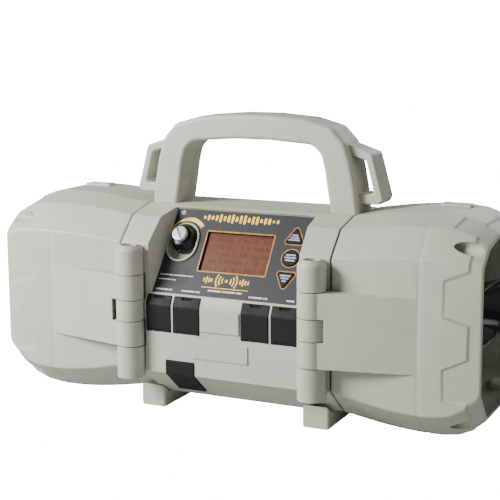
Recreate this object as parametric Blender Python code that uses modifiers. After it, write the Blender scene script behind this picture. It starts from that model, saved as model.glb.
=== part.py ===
"""Electronic game caller: a centre housing with a carry handle, and a speaker pod hinged at each end.

Sizes are in millimetres and become metres through MM. +X is right, +Y is back, +Z is up.
The origin is on the ground, under the middle of the model.
"""

import math

import bmesh
import bpy
from mathutils import Matrix, Vector

MM = 0.001
GAP = 0.3                       # clearance between pieces that rest on each other

# Shells: one outline, seen from the side, for the housing's ends and for the pods where they meet.
MID_Y = 3.7                     # middle of the shells, front to back
WALL = 3.0
SEAM_HOUSING = 88.2             # the housing ends here, to each side
SEAM_POD = 89.4                 # and a closed pod starts here
POD_FULL = 158.0                # where a pod is at its fullest
POD_RIM = 201.3
POD_FLOOR = 3.0
POD_WALL = 2.8
# Corners from the bottom up: half depth either side of MID_Y, and height.
SEAM_CORNERS = ((43.7, 12.8), (71.6, 36.5), (71.6, 136.3), (52.5, 155.2), (26.0, 161.2))
FULL_CORNERS = ((43.7, 4.9), (71.6, 26.2), (71.6, 140.6), (51.5, 160.7), (26.0, 168.2))
RIM_CORNERS = ((50.0, 21.8), (69.3, 45.0), (69.3, 137.0), (52.0, 150.0), (28.0, 154.5))
SPLIT_Y = 1.35                  # joint between the front and rear shells, and the handle halves

# Pod hinges: a vertical pin at each front corner.
HINGE_X, HINGE_Y = 77.2, -75.1
KNUCKLE_R = 10.9
KNUCKLE_CLEAR_R = 12.4          # the housing is cut back this far around a pod's knuckles
LEAF_CLEAR_R = 14.0             # a pod's leaf is cut back this far around the housing's knuckle
PIN_R = 2.5
PIN_BORE_R = 2.9
PIN_HEAD_R = 4.4
BOSS_TOP = ((0, 135.0), (7.2, 135.0), (9.4, 134.3), (10.5, 132.8), (KNUCKLE_R, 130.8))
HOUSING_KNUCKLES = ((30.8, 55.7), (76.7, 92.8), (113.2, 135.0))
POD_KNUCKLES = ((56.3, 76.1), (93.4, 112.6))

# Centre block between the hinges.
BLOCK_X = 66.0
BLOCK_FRONT = -72.0
BLOCK_EDGE_Z = 89.4             # the upper edge of the front face, under the panel
CAVITY_FRONT = -66.2

# Sloped control panel. Panel places are (x, s, h): s runs up the slope, h stands out of it.
PANEL_FOOT = Vector((0.0, -67.5, 98.9))
PANEL_HEAD = Vector((0.0, -26.5, 158.5))
PANEL_LENGTH = (PANEL_HEAD - PANEL_FOOT).length
PANEL_UP = (PANEL_HEAD - PANEL_FOOT).normalized()
PANEL_OUT = Vector((1, 0, 0)).cross(PANEL_UP)
PANEL_FOOT_X, PANEL_HEAD_X = 61.4, 59.4
PANEL_TOP_H, PANEL_THICK = -0.6, 1.8
LCD_LOW, LCD_HIGH = (-27.0, 21.4), (29.3, 54.4)
KNOB_X, KNOB_S = -46.9, 47.1
WELL_LOW_S = 40.0
WELL_R, WELL_INNER_R, WELL_DEPTH = 13.3, 12.1, 6.0
KEY_X = 47.0

# Ports under rubber covers.
PORT_INNER, PORT_OUTER = (18.0, 40.5), (43.0, 64.2)
PORT_LOW, PORT_HIGH = 68.5, 96.6
COVER_PROUD, COVER_THICK = 0.8, 3.0
JACK_Z = 80.0
POWER_X = (-47.5, -22.5)

# Carry handle.
HANDLE_FRONT, HANDLE_REAR = -16.0, 18.4
HANDLE_FOOT_Z = 161.5
HANDLE_OUTSIDE = ((89.6, HANDLE_FOOT_Z), (87.2, 180.5), (83.8, 198.2), (78.6, 214.6), (67.5, 226.4),
                  (45.5, 232.4), (15.0, 234.8))
HANDLE_INSIDE = ((66.8, HANDLE_FOOT_Z), (63.6, 179.6), (61.8, 192.6), (58.6, 205.5), (51.5, 212.4),
                 (15.0, 215.0))
HANDLE_CORNER_R = 11.0
LOOP_HALF_DEPTH = 12.0
LOOP = ((77.5, 213.9), (98.0, 207.1), (107.4, 172.4), (104.2, 168.2), (85.5, 168.2),
        (83.8, 175.6), (99.6, 176.6), (93.0, 201.6), (78.5, 206.0))

# Rear fittings.
LATCH_X, LATCH_Y, LATCH_R = 66.0, 81.6, 4.2
LATCH_Z = (76.0, 98.0)
DOOR_X, DOOR_Z = 42.0, (44.0, 118.0)

# Horn in each pod.
HORN_Z = 89.0
HORN_THROAT_X, HORN_MOUTH_X = 127.8, 189.0
HORN_HALF_DEPTH, HORN_HALF_HEIGHT = 46.0, 23.5
BAFFLE_X = (124.5, 127.5)

# Colour, roughness, metallic value.
FINISHES = {
    "sage_plastic": ((0.50, 0.51, 0.45), 0.55, 0.0),
    "black_rubber": ((0.02, 0.02, 0.022), 0.7, 0.0),
    "black_gloss": ((0.01, 0.01, 0.011), 0.2, 0.0),
    "panel_film": ((0.05, 0.05, 0.06), 0.4, 0.0),
    "amber_glass": ((0.30, 0.10, 0.05), 0.2, 0.0),
    "satin_metal": ((0.6, 0.62, 0.65), 0.3, 1.0),
    "circuit_board": ((0.02, 0.15, 0.06), 0.5, 0.0),
    "battery_wrap": ((0.05, 0.12, 0.35), 0.4, 0.0),
    "dark_plastic": ((0.03, 0.03, 0.03), 0.5, 0.0),
}

MODEL = bpy.data.collections.new("electronic_game_caller")
TOOLS = bpy.data.collections.new("cutters")


# ---------------------------------------------------------------- outlines

def signed_area(outline):
    pairs = zip(outline, outline[1:] + outline[:1])
    return sum(ax * by - bx * ay for (ax, ay), (bx, by) in pairs) / 2


def offset(outline, inwards):
    """The outline moved inwards by a distance, its corners kept sharp."""
    points = [Vector(point) for point in outline]
    turn = 1 if signed_area(outline) > 0 else -1
    moved = []
    for index, corner in enumerate(points):
        before = (corner - points[index - 1]).normalized()
        after = (points[(index + 1) % len(points)] - corner).normalized()
        normal_in = Vector((-before.y, before.x)) * turn
        normal_out = Vector((-after.y, after.x)) * turn
        bisector = (normal_in + normal_out).normalized()
        moved.append(tuple(corner + bisector * inwards / bisector.dot(normal_in)))
    return moved


def rounded(outline, radius, steps=2, sharp_at=None):
    """The outline with each corner replaced by an arc, but for those at a height kept sharp."""
    points = [Vector(point) for point in outline]
    result = []
    for index, corner in enumerate(points):
        if sharp_at is not None and abs(corner.y - sharp_at) < 0.01:
            result.append(tuple(corner))
            continue
        back = (points[index - 1] - corner).normalized()
        ahead = (points[(index + 1) % len(points)] - corner).normalized()
        half = back.angle(ahead) / 2
        reach = radius / math.tan(half)
        centre = corner + (back + ahead).normalized() * radius / math.sin(half)
        first = corner + back * reach - centre
        last = corner + ahead * reach - centre
        for step in range(steps + 1):
            spoke = first.lerp(last, step / steps).normalized() * radius
            result.append(tuple(centre + spoke))
    return result


def clipped(outline, limit, keep_front):
    """The part of a side outline in front of, or behind, y = limit."""
    sign = 1 if keep_front else -1
    result = []
    for index, point in enumerate(outline):
        previous = outline[index - 1]
        inside, was_inside = (sign * (limit - p[0]) >= 0 for p in (point, previous))
        if inside != was_inside:
            share = (limit - previous[0]) / (point[0] - previous[0])
            result.append((limit, previous[1] + share * (point[1] - previous[1])))
        if inside:
            result.append(point)
    return result


def rectangle(low, high):
    return [low, (high[0], low[1]), high, (low[0], high[1])]


def circle(centre, radius, sides=24):
    turns = [2 * math.pi * step / sides for step in range(sides)]
    return [(centre[0] + radius * math.cos(t), centre[1] + radius * math.sin(t)) for t in turns]


def stadium(x, low_s, high_s, radius, steps=10):
    """A slot with round ends, upright on the panel."""
    arc = [math.pi * step / steps for step in range(steps + 1)]
    top = [(x + radius * math.cos(t), high_s + radius * math.sin(t)) for t in arc]
    bottom = [(x - radius * math.cos(t), low_s - radius * math.sin(t)) for t in arc]
    return top + bottom


def whole_section(corners):
    """A closed side outline, (y, z), from its front half's corners."""
    front = [(MID_Y - half, z) for half, z in corners]
    rear = [(MID_Y + half, z) for half, z in reversed(corners)]
    return front + rear


def pod_corners(x):
    """A pod's corners at x: it swells from the seam, then draws in to the rim."""
    if x <= POD_FULL:
        first, last = SEAM_CORNERS, FULL_CORNERS
        share = math.sin(math.pi / 2 * (x - SEAM_POD) / (POD_FULL - SEAM_POD))
    else:
        first, last = FULL_CORNERS, RIM_CORNERS
        share = ((x - POD_FULL) / (POD_RIM - POD_FULL)) ** 3
    return [tuple(Vector(a).lerp(Vector(b), share)) for a, b in zip(first, last)]


def pod_section(x, inwards):
    rim_share = max(0.0, (x - POD_FULL) / (POD_RIM - POD_FULL)) ** 3
    outline = whole_section(pod_corners(x))
    return rounded(offset(outline, inwards), 3.0 + 6.0 * rim_share)


# ---------------------------------------------------------------- solids

def placed(x_axis, y_axis, z_axis, origin=(0, 0, 0)):
    """A matrix whose local axes are the ones given, at an origin in millimetres."""
    matrix = Matrix((x_axis, y_axis, z_axis)).transposed().to_4x4()
    matrix.translation = Vector(origin) * MM
    return matrix


FRAMES = {
    "X": placed((0, 1, 0), (0, 0, 1), (1, 0, 0)),
    "Y": placed((1, 0, 0), (0, 0, 1), (0, -1, 0)),
    "Z": Matrix.Identity(4),
    "panel": placed((1, 0, 0), PANEL_UP, PANEL_OUT, PANEL_FOOT),
}


def add_mesh(name, shape, matrix=None):
    """An object in the model from a bmesh in metres, its faces turned outwards."""
    bmesh.ops.recalc_face_normals(shape, faces=shape.faces)
    mesh = bpy.data.meshes.new(name)
    shape.to_mesh(mesh)
    shape.free()
    thing = bpy.data.objects.new(name, mesh)
    MODEL.objects.link(thing)
    thing.matrix_world = matrix or Matrix.Identity(4)
    return thing


def to_mesh_object(thing):
    """Replaces a curve or a modified object with the plain mesh that it makes."""
    name, matrix = thing.name, thing.matrix_world.copy()
    graph = bpy.context.evaluated_depsgraph_get()
    mesh = bpy.data.meshes.new_from_object(thing.evaluated_get(graph))
    bpy.data.objects.remove(thing, do_unlink=True)
    shape = bmesh.new()
    shape.from_mesh(mesh)
    bpy.data.meshes.remove(mesh)
    bmesh.ops.remove_doubles(shape, verts=shape.verts, dist=0.00001)
    return add_mesh(name, shape, matrix)


def prism(name, outlines, low, high, frame="X"):
    """A flat outline, with any holes after it, made solid from low to high along the frame's axis."""
    if frame == "Y":
        low, high = -high, -low
    curve = bpy.data.curves.new(name, "CURVE")
    curve.dimensions, curve.fill_mode = "2D", "BOTH"
    curve.extrude = (high - low) / 2 * MM
    for outline in outlines:
        spline = curve.splines.new("POLY")
        spline.points.add(len(outline) - 1)
        spline.use_cyclic_u = True
        for point, (u, v) in zip(spline.points, outline):
            point.co = (u * MM, v * MM, 0, 1)
    thing = bpy.data.objects.new(name, curve)
    MODEL.objects.link(thing)
    thing.matrix_world = FRAMES[frame] @ Matrix.Translation((0, 0, (low + high) / 2 * MM))
    bpy.context.view_layer.update()
    return to_mesh_object(thing)


def box(name, low, high, bevel=0.0, frame="Z"):
    """A box between two corners, its edges rounded by a bevel where one is given."""
    low, high = Vector(low), Vector(high)
    shape = bmesh.new()
    bmesh.ops.create_cube(shape, size=1)
    bmesh.ops.scale(shape, vec=(high - low) * MM, verts=shape.verts)
    middle = Matrix.Translation((low + high) / 2 * MM)
    thing = add_mesh(name, shape, FRAMES[frame] @ middle)
    if bevel:
        edges = thing.modifiers.new("edges", "BEVEL")
        edges.width, edges.segments = bevel * MM, 2
    return thing


def rod(name, radius, start, end, sides=24):
    """A cylinder between two points."""
    start, end = Vector(start) * MM, Vector(end) * MM
    shape = bmesh.new()
    bmesh.ops.create_cone(shape, cap_ends=True, segments=sides, radius1=radius * MM,
                          radius2=radius * MM, depth=(end - start).length)
    turn = (end - start).to_track_quat("Z", "Y").to_matrix().to_4x4()
    return add_mesh(name, shape, Matrix.Translation((start + end) / 2) @ turn)


def turned(name, profile, matrix, sides=24):
    """A turned shape about local Z, from (radius, height) points listed from the top down."""
    shape = bmesh.new()
    points = [shape.verts.new((radius * MM, 0, height * MM)) for radius, height in profile]
    for first, second in zip(points, points[1:]):
        shape.edges.new((first, second))
    thing = add_mesh(name, shape, matrix)
    screw = thing.modifiers.new("turn", "SCREW")
    screw.steps = screw.render_steps = sides
    screw.use_merge_vertices, screw.merge_threshold = True, 0.00001
    bpy.context.view_layer.update()
    return to_mesh_object(thing)


def loft(name, rings):
    """A closed solid through rings of equal point counts, each a list of (x, y, z)."""
    shape = bmesh.new()
    layers = [[shape.verts.new(Vector(point) * MM) for point in ring] for ring in rings]
    for lower, upper in zip(layers, layers[1:]):
        for index in range(len(lower)):
            shape.faces.new((lower[index - 1], lower[index], upper[index], upper[index - 1]))
    shape.faces.new(layers[0])
    shape.faces.new(layers[-1])
    return add_mesh(name, shape)


def as_tool(thing):
    """Puts a helper among the cutters, where it is drawn as wire and not rendered."""
    MODEL.objects.unlink(thing)
    TOOLS.objects.link(thing)
    thing.hide_render, thing.display_type = True, "WIRE"


def combine(target, operation, tools):
    for tool in tools:
        as_tool(tool)
        boolean = target.modifiers.new(tool.name, "BOOLEAN")
        boolean.operation, boolean.solver, boolean.object = operation, "EXACT", tool


def cut(target, *tools):
    combine(target, "DIFFERENCE", tools)


def join(target, *tools):
    combine(target, "UNION", tools)


def finish(thing, finish_name):
    """Gives a sub-part its own material and smooth shading over its round faces."""
    colour, roughness, metallic = FINISHES[finish_name]
    material = bpy.data.materials.new(f"{thing.name}_{finish_name}")
    material.use_nodes = True
    shader = material.node_tree.nodes["Principled BSDF"]
    shader.inputs["Base Color"].default_value = (*colour, 1)
    shader.inputs["Roughness"].default_value = roughness
    shader.inputs["Metallic"].default_value = metallic
    thing.data.materials.append(material)
    thing.data.shade_smooth()
    thing.data.set_sharp_from_angle(angle=math.radians(30))
    return thing


def carried_by(name, origin, things):
    """An empty on a joint's axis, with the pieces that move about it as its children."""
    empty = bpy.data.objects.new(name, None)
    MODEL.objects.link(empty)
    empty.location = Vector(origin) * MM
    bpy.context.view_layer.update()
    for thing in things:
        thing.parent = empty
        thing.matrix_parent_inverse = empty.matrix_world.inverted()


def panel_point(x, s, h):
    return PANEL_FOOT + Vector((x, 0, 0)) + PANEL_UP * s + PANEL_OUT * h


def panel_frame(x, s, h):
    return placed((1, 0, 0), PANEL_UP, PANEL_OUT, panel_point(x, s, h))


# ---------------------------------------------------------------- housing

SEAM_SECTION = rounded(whole_section(SEAM_CORNERS), 3.0)
END_CAVITY = clipped(offset(whole_section(SEAM_CORNERS), WALL), -59.5, False)


def port_outline(inwards, extra=0.0):
    """A port cover's section, (y, z): over the block's upper edge and down its front."""
    edge_y = BLOCK_FRONT - COVER_PROUD
    top_y = PANEL_FOOT.y - 1.9
    return [
        (edge_y - extra, PORT_LOW - inwards), (edge_y - extra, BLOCK_EDGE_Z),
        (top_y - extra, PORT_HIGH + inwards), (top_y + COVER_THICK + inwards, PORT_HIGH + inwards),
        (edge_y + COVER_THICK + inwards, BLOCK_EDGE_Z - 1.2),
        (edge_y + COVER_THICK + inwards, PORT_LOW - inwards),
    ]


def power_outline(inwards, extra=0.0):
    """The power cover's section, (y, z): from the block's front round onto the lower slope."""
    front, slope = BLOCK_FRONT - COVER_PROUD - extra, 0.83
    inner = BLOCK_FRONT - COVER_PROUD + COVER_THICK + inwards
    low_y = -52.0 + inwards
    return [
        (front, 46.0 + inwards), (front, 34.9 - extra), (low_y, 34.9 - extra - (low_y - front) * slope),
        (low_y, 22.1 + inwards), (inner, 37.2 + inwards), (inner, 46.0 + inwards),
    ]


def block_outline():
    """The centre block in front of the shells, (y, z)."""
    return [(-44.6, 12.8), (BLOCK_FRONT, 35.5), (BLOCK_FRONT, BLOCK_EDGE_Z), (PANEL_FOOT.y, PANEL_FOOT.z),
            (-58.0, PANEL_FOOT.z), (-44.6, 60.0)]


def block_cavity():
    """The hollow behind the block and the panel, (y, z), run past the joint between the shells."""
    under_foot = panel_point(0, 0, -7.0)
    under_head = panel_point(0, PANEL_LENGTH, -7.0)
    return [(10.0, 15.8), (-38.5, 15.8), (CAVITY_FRONT, 38.5), (CAVITY_FRONT, under_foot.z - 6.0),
            (under_foot.y, under_foot.z), (under_head.y, under_head.z), (10.0, under_head.z)]


def panel_recess():
    """The wedge between the housing's ends, its side walls sloped out a little."""
    rings = []
    for h, flare in ((0.0, 0.0), (45.0, 5.5)):
        foot_x, head_x = PANEL_FOOT_X + 1.0 + flare, PANEL_HEAD_X + 1.0 + flare
        corners = ((-foot_x, -0.5), (foot_x, -0.5), (head_x, PANEL_LENGTH + 0.6),
                   (-head_x, PANEL_LENGTH + 0.6))
        rings.append([panel_point(x, s, h) for x, s in corners])
    return loft("panel_recess", rings)


def panel_outline(inwards):
    top = PANEL_LENGTH - inwards
    foot_x, head_x = PANEL_FOOT_X - inwards, PANEL_HEAD_X - inwards
    return [(-foot_x, inwards), (foot_x, inwards), (head_x, top), (-head_x, top)]


def make_front_housing():
    outline = clipped(SEAM_SECTION, SPLIT_Y - GAP / 2, True)
    shell = prism("housing_front", [outline], -SEAM_HOUSING, SEAM_HOUSING)
    join(shell, prism("block", [block_outline()], -BLOCK_X, BLOCK_X))
    for side in (-1, 1):
        axis_x = side * HINGE_X
        low_z = HOUSING_KNUCKLES[0][0]
        join(shell, turned("boss", BOSS_TOP + ((KNUCKLE_R, low_z), (0, low_z)),
                           placed((1, 0, 0), (0, 1, 0), (0, 0, 1), (axis_x, HINGE_Y, 0)), 40))
        for low, high in zip(HOUSING_KNUCKLES, HOUSING_KNUCKLES[1:]):
            cut(shell, rod("knuckle_room", KNUCKLE_CLEAR_R, (axis_x, HINGE_Y, low[1]),
                           (axis_x, HINGE_Y, high[0]), 40))
        cut(shell, rod("pin_bore", PIN_BORE_R, (axis_x, HINGE_Y, 20), (axis_x, HINGE_Y, 150), 16),
            rod("pin_head_recess", PIN_HEAD_R + 1.0, (axis_x, HINGE_Y, 132.0), (axis_x, HINGE_Y, 150)),
            prism("end_cavity", [END_CAVITY], *sorted((side * 69.0, side * 95.0))))
    cut(shell, panel_recess(), prism("block_cavity", [block_cavity()], -61.0, 61.0))
    join(shell, box("bridge", (-16.3, BLOCK_FRONT - 1.0, 72.0), (16.3, -70.0, 89.0)),
         box("plaque", (-23.5, BLOCK_FRONT - 0.8, 50.0), (23.5, -70.0, 64.0)))
    cut_panel_seat(shell)
    cut_ports(shell)
    return finish(shell, "sage_plastic")


def cut_panel_seat(shell):
    """The seat of the control panel, and the openings under it."""
    floor_h = PANEL_TOP_H - PANEL_THICK - GAP
    seat = prism("panel_seat", [panel_outline(-GAP)], floor_h, 5.0, "panel")
    opening = prism("panel_opening", [rectangle((-57.0, 4.0), (57.0, PANEL_LENGTH - 4.0))],
                    -20.0, 1.0, "panel")
    well = prism("well_opening", [stadium(KNOB_X, WELL_LOW_S, KNOB_S, WELL_R + 0.4)],
                 -20.0, 2.0, "panel")
    cut(shell, seat, opening, well)


def cut_ports(shell):
    """The pockets of the rubber covers, and the holes of the sockets behind them."""
    for side in (-1, 1):
        for near, far in (PORT_INNER, PORT_OUTER):
            span = sorted((side * (near - GAP), side * (far + GAP)))
            middle = side * (near + far) / 2
            cut(shell, prism("port_pocket", [port_outline(GAP, 5.0)], *span),
                rod("jack_hole", 4.6, (middle, -75, JACK_Z), (middle, -60, JACK_Z), 20))
    cut(shell, prism("power_pocket", [power_outline(GAP, 5.0)], POWER_X[0] - GAP, POWER_X[1] + GAP),
        rod("power_hole", 5.6, power_socket_point(-8.0), power_socket_point(12.0), 20))


def power_socket_point(depth):
    """A point on the power socket's axis, this deep behind the lower slope's face."""
    face = Vector((sum(POWER_X) / 2, -61.0, 26.4))
    return face + Vector((0, 0.64, 0.77)) * depth


def make_rear_housing():
    outline = clipped(SEAM_SECTION, SPLIT_Y + GAP / 2, False)
    shell = prism("housing_rear", [outline], -SEAM_HOUSING, SEAM_HOUSING)
    hollow = clipped(offset(whole_section(SEAM_CORNERS), WALL), -5.0, False)
    cut(shell, prism("rear_hollow", [hollow], -95.0, 95.0),
        box("door_opening", (-DOOR_X - 0.4, 60.0, DOOR_Z[0] - 0.4), (DOOR_X + 0.4, 90.0, DOOR_Z[1] + 0.4)))
    return finish(shell, "sage_plastic")


def make_end(name, side):
    """The plate that closes one end of the housing, and the tweeter in it."""
    plate = prism(f"end_plate_{name}", [offset(END_CAVITY, GAP), circle((MID_Y, HORN_Z), 17.4, 32)],
                  *sorted((side * 84.4, side * 87.0)))
    finish(plate, "dark_plastic")
    profile = ((0, 88.2), (9, 88.2), (12, 87.4), (16, 88.7), (22.5, 88.7), (22.5, 87.3), (16.8, 87.3),
               (16.8, 80.0), (12.0, 78.0), (12.0, 70.0), (0, 70.0))
    matrix = placed((0, side, 0), (0, 0, 1), (side, 0, 0), (0, MID_Y, HORN_Z))
    finish(turned(f"tweeter_{name}", profile, matrix), "black_gloss")


def make_foot(name, side):
    outline = [(-52.7, 0), (-52.7, 19.0), (-44.9, 12.5), (47.4, 12.5), (60.1, 22.9), (60.1, 0)]
    foot = prism(f"foot_{name}", [outline], *sorted((side * 59.8, side * 81.8)))
    finish(foot, "sage_plastic")


def make_hinge_pin(name, side):
    profile = ((0, 134.4), (3.4, 134.4), (PIN_HEAD_R, 133.6), (PIN_HEAD_R, 132.3), (PIN_R, 132.3),
               (PIN_R, 31.6), (0, 31.6))
    matrix = placed((1, 0, 0), (0, 1, 0), (0, 0, 1), (side * HINGE_X, HINGE_Y, 0))
    finish(turned(f"hinge_pin_{name}", profile, matrix, 16), "satin_metal")


# ---------------------------------------------------------------- handle

def make_handle_half(name, low, high, loop_low, loop_high, pocket):
    """Half of the arch with half of each strap loop, hollow towards the other half."""
    outside = list(HANDLE_OUTSIDE) + [(-x, z) for x, z in reversed(HANDLE_OUTSIDE)]
    inside = list(HANDLE_INSIDE) + [(-x, z) for x, z in reversed(HANDLE_INSIDE)]
    outline = rounded(outside + inside[::-1], HANDLE_CORNER_R, sharp_at=HANDLE_FOOT_Z)
    half = prism(f"handle_{name}", [outline], low, high, "Y")
    cut(half, prism("handle_hollow", [offset(outline, WALL)], *pocket, "Y"))
    for side in (-1, 1):
        loop = [(side * x, z) for x, z in LOOP]
        join(half, prism("strap_loop", [loop], loop_low, loop_high, "Y"))
    finish(half, "sage_plastic")


def make_handle():
    front_end, rear_start = SPLIT_Y - GAP / 2, SPLIT_Y + GAP / 2
    make_handle_half("front", HANDLE_FRONT, front_end, SPLIT_Y - LOOP_HALF_DEPTH, front_end,
                     (HANDLE_FRONT + WALL, front_end + 5.0))
    make_handle_half("rear", rear_start, HANDLE_REAR, rear_start, SPLIT_Y + LOOP_HALF_DEPTH,
                     (rear_start - 5.0, HANDLE_REAR - WALL))


# ---------------------------------------------------------------- control panel

def triangle_key(point_s, base_s, half_width):
    return [(KEY_X - half_width, base_s), (KEY_X + half_width, base_s), (KEY_X, point_s)]


KEYS = {
    "up_key": rounded(triangle_key(63.6, 49.6, 7.6), 1.2),
    "select_key": circle((KEY_X + 0.4, 37.4), 6.6, 28),
    "down_key": rounded(triangle_key(11.6, 25.4, 7.6), 1.2),
}


def make_panel():
    floor_h = PANEL_TOP_H - PANEL_THICK
    window = rectangle((LCD_LOW[0] - GAP, LCD_LOW[1] - GAP), (LCD_HIGH[0] + GAP, LCD_HIGH[1] + GAP))
    holes = [window] + [offset(outline, -0.35) for outline in KEYS.values()]
    panel = prism("control_panel", [panel_outline(0.0)] + holes, floor_h, PANEL_TOP_H, "panel")
    cut(panel, prism("well_hole", [stadium(KNOB_X, WELL_LOW_S, KNOB_S, WELL_R + 0.35)],
                     -10.0, 10.0, "panel"))
    finish(panel, "panel_film")
    lens = prism("lcd_window", [rectangle(LCD_LOW, LCD_HIGH)], -2.3, -1.0, "panel")
    finish(lens, "amber_glass")
    finish(box("lcd_module", (-31.0, 18.0, -9.0), (33.0, 58.0, -3.0), 0.6, "panel"), "dark_plastic")
    finish(box("control_board", (-32.0, 6.0, -13.2), (56.0, 67.0, -11.6), 0, "panel"), "circuit_board")
    finish(box("key_mat", (37.0, 8.0, -6.6), (56.0, 66.0, -4.4), 0.4, "panel"), "black_rubber")
    for name, outline in KEYS.items():
        key = finish(prism(name, [outline], -2.9, 0.5, "panel"), "black_rubber")
        carried_by(f"{name}_slide", panel_point(KEY_X, 0, 0), [key])


def make_volume_control():
    well = prism("knob_well", [stadium(KNOB_X, WELL_LOW_S, KNOB_S, WELL_R)], -WELL_DEPTH - 1.5, 1.0, "panel")
    cut(well, prism("well_bowl", [stadium(KNOB_X, WELL_LOW_S, KNOB_S, WELL_INNER_R)],
                    -WELL_DEPTH, 5.0, "panel"),
        prism("shaft_hole", [circle((KNOB_X, KNOB_S), 4.0, 16)], -12.0, 0.0, "panel"))
    finish(well, "sage_plastic")
    pot = box("volume_pot", (KNOB_X - 8, KNOB_S - 8, -16.0), (KNOB_X + 8, KNOB_S + 8, -7.9), 0, "panel")
    shaft = prism("pot_shaft", [circle((KNOB_X, KNOB_S), 3.0, 16)], -9.0, 3.0, "panel")
    join(pot, shaft)
    finish(pot, "satin_metal")
    skirt = ((0, 6.2), (6.6, 6.2), (8.6, 5.4), (9.8, -1.0), (11.3, -2.0), (11.3, -5.2), (3.4, -5.2),
             (3.4, 3.4), (0, 3.4))
    knob = turned("volume_knob", skirt, panel_frame(KNOB_X, KNOB_S, 0), 36)
    cap = turned("knob_cap", ((0, 9.8), (5.6, 9.8), (6.2, 9.2), (6.2, 6.5), (0, 6.5)),
                 panel_frame(KNOB_X, KNOB_S, 0), 28)
    slot = box("pointer_slot", (KNOB_X - 0.5, KNOB_S + 0.5, 9.0), (KNOB_X + 0.5, KNOB_S + 9, 12), 0, "panel")
    cut(cap, slot)
    finish(knob, "black_gloss")
    finish(cap, "satin_metal")
    carried_by("volume_turn", panel_point(KNOB_X, KNOB_S, 0), [knob, cap])


# ---------------------------------------------------------------- ports

def make_port_covers():
    names = ("port_cover_outer_left", "port_cover_inner_left", "port_cover_inner_right",
             "port_cover_outer_right")
    spans = ((-PORT_OUTER[1], -PORT_OUTER[0]), (-PORT_INNER[1], -PORT_INNER[0]), PORT_INNER, PORT_OUTER)
    for name, span in zip(names, spans):
        cover = finish(prism(name, [port_outline(0.0)], *span), "black_rubber")
        carried_by(f"{name}_hinge", (sum(span) / 2, BLOCK_FRONT - COVER_PROUD, PORT_LOW), [cover])
    cover = finish(prism("power_cover", [power_outline(0.0)], *POWER_X), "black_rubber")
    carried_by("power_cover_hinge", (sum(POWER_X) / 2, BLOCK_FRONT - COVER_PROUD, 46.0), [cover])


def make_jack(name, x, bore):
    """A panel socket: a round nose through the wall, and a body behind it."""
    nose = rod(name, 4.2, (x, -69.2, JACK_Z), (x, -58.0, JACK_Z), 20)
    join(nose, box("jack_body", (x - 6, -65.8, JACK_Z - 5.5), (x + 6, -54.0, JACK_Z + 5.5)))
    cut(nose, bore)
    finish(nose, "dark_plastic")


def make_jacks():
    outer, inner = sum(PORT_OUTER) / 2, sum(PORT_INNER) / 2
    for name, x, radius in (("charge_jack", -outer, 2.7), ("speaker_jack_left", -inner, 1.8),
                            ("speaker_jack_right", inner, 1.8)):
        make_jack(name, x, rod("jack_bore", radius, (x, -75, JACK_Z), (x, -60, JACK_Z), 12))
    make_jack("usb_port", outer, box("usb_slot", (outer - 2.9, -75, 78.2), (outer + 2.9, -60, 81.8)))
    socket = rod("power_socket", 5.2, power_socket_point(3.4), power_socket_point(16.0), 20)
    cut(socket, rod("power_bore", 2.8, power_socket_point(-5.0), power_socket_point(11.0), 12))
    finish(socket, "dark_plastic")


# ---------------------------------------------------------------- inside the housing

def make_electronics():
    finish(box("amplifier_board", (-56.0, -20.0, 24.0), (56.0, 28.0, 25.6)), "circuit_board")
    sink = box("heat_sink", (-46.0, -14.0, 26.0), (-6.0, 22.0, 30.0))
    for step in range(5):
        x = -45.0 + 9.0 * step
        join(sink, box("fin", (x, -14.0, 29.0), (x + 2.0, 22.0, 46.0)))
    finish(sink, "satin_metal")
    finish(box("receiver_module", (10.0, -12.0, 26.0), (44.0, 14.0, 33.0), 0.6), "satin_metal")


def make_battery():
    low, high = DOOR_Z[0] - 3.0, DOOR_Z[1] + 3.0
    tray = box("battery_tray", (-DOOR_X - 3.0, 34.0, low), (DOOR_X + 3.0, 72.0, high))
    cut(tray, box("tray_hollow", (-DOOR_X, 36.0, DOOR_Z[0]), (DOOR_X, 80.0, DOOR_Z[1])))
    finish(tray, "dark_plastic")
    finish(box("battery_pack", (-DOOR_X + 1.5, 36.6, DOOR_Z[0] + 0.6), (DOOR_X - 1.5, 69.5, DOOR_Z[1] - 3.0), 3.0),
           "battery_wrap")
    back = MID_Y + SEAM_CORNERS[1][0]
    door = finish(box("battery_door", (-DOOR_X, back - 2.4, DOOR_Z[0]), (DOOR_X, back, DOOR_Z[1]), 0.5),
                  "sage_plastic")
    slider = finish(box("door_slider", (-10.0, back + GAP, 106.0), (10.0, back + 2.6, 114.0), 0.8),
                    "black_rubber")
    carried_by("battery_door_hinge", (0, back, DOOR_Z[0]), [door, slider])


# ---------------------------------------------------------------- latches

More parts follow.
